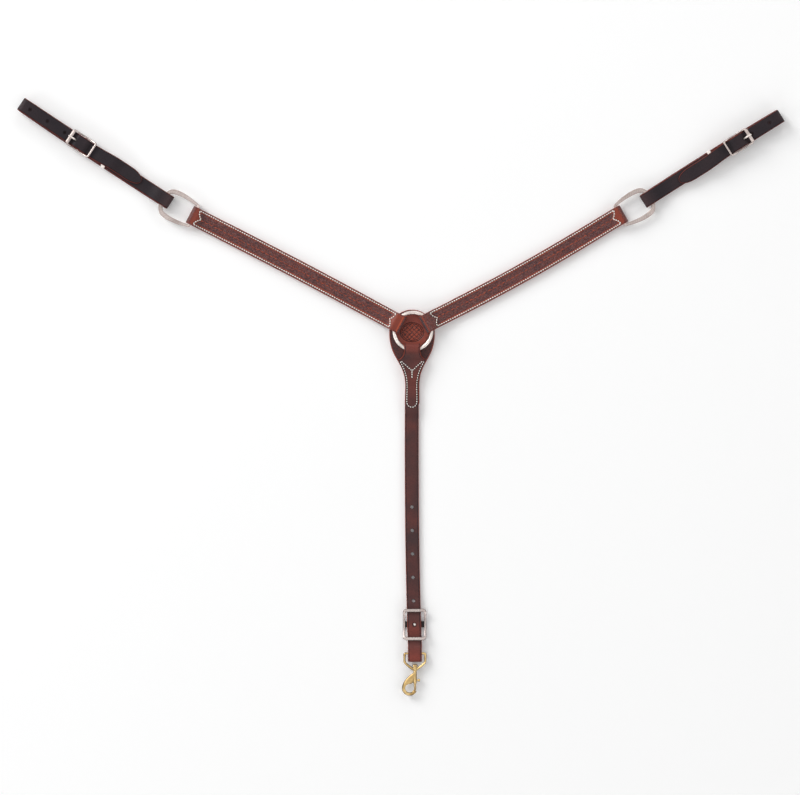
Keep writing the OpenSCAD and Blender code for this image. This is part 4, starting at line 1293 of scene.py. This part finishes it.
def snap_bolt():
    low, high = TIE.box("snap_bolt")
    first, last, tip = low[0], high[0], high[1]
    rod = [(first, 0.0), (first, BOLT_R - 0.2), (first + 0.2, BOLT_R)]
    rod += [(x, BOLT_R) for x in np.linspace(first + 1, last - 1, 12)]
    rod += [(last - 0.5, BOLT_R - 0.05), (last - 0.15, BOLT_R - 0.35), (last, BOLT_R - 0.8), (last, 0.0)]
    bolt = revolve(rod, (0, 0, SNAP_Z), SNAP_AXIS, BOLT_RING)
    stem = [(0.0, 0.9), (BARREL_R + 1.0, 0.9), (BARREL_R + 1.3, 1.7), (BARREL_R + 1.7, KNOB_R)]
    stem += [(tip - 0.9, KNOB_R), (tip - 0.4, 1.8), (tip - 0.1, 1.2), (tip, 0.0)]
    knob = revolve(stem, (KNOB_AT, 0, SNAP_Z), (0, 1, 0), BOLT_RING)
    brass_piece("snap_bolt_pin", "bolt", "snap_bolt", (bolt, BOLT_RING, True), (knob, BOLT_RING, True))


def snap_spring():
    """The return spring in the barrel."""
    low, high = TIE.box("snap_spring")
    turn = np.linspace(0, 2 * np.pi * SPRING_TURNS, 40 * SPRING_TURNS)
    along = np.linspace(low[0] + SPRING_WIRE / 2, high[0] - SPRING_WIRE / 2, len(turn))
    r = (high[1] - low[1] - SPRING_WIRE) / 2
    path = xyz(along, r * np.cos(turn), SNAP_Z + r * np.sin(turn))
    skin = sweep(path, section(SPRING_WIRE, SPRING_WIRE, 2, 10), SNAP_AXIS, spot=TIE)
    piece = make_piece("spring_wire", skin, STEEL, "snap", "snap_spring")
    tuple(TIE(low[0], 0, SNAP_Z))
    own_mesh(piece)


swivel_loop()
snap_body()
snap_bolt()
snap_spring()


# The photo's size and its ring's centre in pixels, and the millimetres in a pixel
PHOTO_W, PHOTO_H = 800, 795
RING_PX = (412.9, 331.2)
PHOTO_SCALE = 1.363

# Floor, light and camera, in metres, watts and radians, with the sensor in millimetres
CAMERA_HEIGHT = 6.0
SENSOR = 36.0
SKY = 0.13
WHITE = (1, 1, 1, 1)
FLOOR_WHITE = (0.97, 0.97, 0.97, 1)
FLOOR_GLOW = 0.07
FLOOR_HALF = 8.0
FLOOR_DROP = 2.0 * MM
LAMPS = 6
LAMP_AWAY = 8.0
LAMP_SIZE = 4.4
LOW_RISE = math.radians(25)
KEY_RISE = math.radians(50)
KEY_TURN = math.radians(140)
KEY_POWER = 90
LEAD_POWER = 441
LOW_POWER = 111
TOP_HEIGHT = 5.0
TOP_SIZE = 5.0
TOP_POWER = 30
AIM = np.array([0, -0.1, 0])


def seen_rays(g):
    """1 where a surface is seen straight, in a mirror or through glass, and 0 where it only gives light."""
    ray = g.put("ShaderNodeLightPath").outputs
    seen = g.math("MAXIMUM", ray["Is Camera Ray"], ray["Is Glossy Ray"])
    return g.math("MAXIMUM", seen, ray["Is Transmission Ray"])


def floor():
    """A pale floor that photographs white and keeps the shadow."""
    g = new_material("studio_floor")
    g.set(Roughness=0.9, Base_Color=FLOOR_WHITE, Specular_IOR_Level=0.0, Emission_Color=WHITE)
    g.set(Emission_Strength=g.times(seen_rays(g), FLOOR_GLOW))
    mesh = bpy.data.meshes.new("studio_floor")
    corners = [(x * FLOOR_HALF, y * FLOOR_HALF, 0) for x, y in ((-1, -1), (1, -1), (1, 1), (-1, 1))]
    mesh.from_pydata(corners, [], [(0, 1, 2, 3)])
    mesh.materials.append(g.owner)
    piece = add_object("studio_floor", mesh)
    piece.location.z = -FLOOR_DROP


def sky():
    """A world that looks white and gives little light."""
    world = bpy.data.worlds.new("studio_world")
    bpy.context.scene.world = world
    g = Graph(world)
    back = g.nodes["Background"].inputs
    g.feed(back["Color"], WHITE)
    g.feed(back["Strength"], g.span(seen_rays(g), SKY, 1))


def lamp(name, away, width, power):
    """A round lamp at a place away from the point it is aimed at."""
    data = bpy.data.lights.new(name, "AREA")
    data.shape = "DISK"
    data.size = width
    data.energy = power
    piece = add_object(name, data)
    piece.location = AIM + away
    piece.rotation_euler = Vector((-away).tolist()).to_track_quat("-Z", "Y").to_euler()
    piece.visible_camera = False


def lamps():
    def away(turn, rise):
        flat = math.cos(rise)
        return LAMP_AWAY * np.array([flat * math.cos(turn), flat * math.sin(turn), math.sin(rise)])

    for k in range(LAMPS):
        turn = KEY_TURN + 2 * math.pi * k / LAMPS
        lamp("low_%d" % k, away(turn, LOW_RISE), LAMP_SIZE, LOW_POWER if k else LEAD_POWER)
    lamp("key", away(KEY_TURN, KEY_RISE), LAMP_SIZE, KEY_POWER)
    lamp("top", np.array([0, 0, TOP_HEIGHT]), TOP_SIZE, TOP_POWER)


def camera():
    """Straight above, framed as the photo is."""
    scene = bpy.context.scene
    scene.view_settings.view_transform = "Standard"
    data = bpy.data.cameras.new("camera")
    data.sensor_width = SENSOR
    data.lens = SENSOR * CAMERA_HEIGHT / (PHOTO_W * PHOTO_SCALE * MM)
    data.clip_end = 100
    scene.camera = add_object("camera", data)
    centre = np.array([PHOTO_W / 2 - RING_PX[0], RING_PX[1] - PHOTO_H / 2]) * PHOTO_SCALE * MM
    scene.camera.location = (*centre, CAMERA_HEIGHT)


floor()
sky()
lamps()
camera()
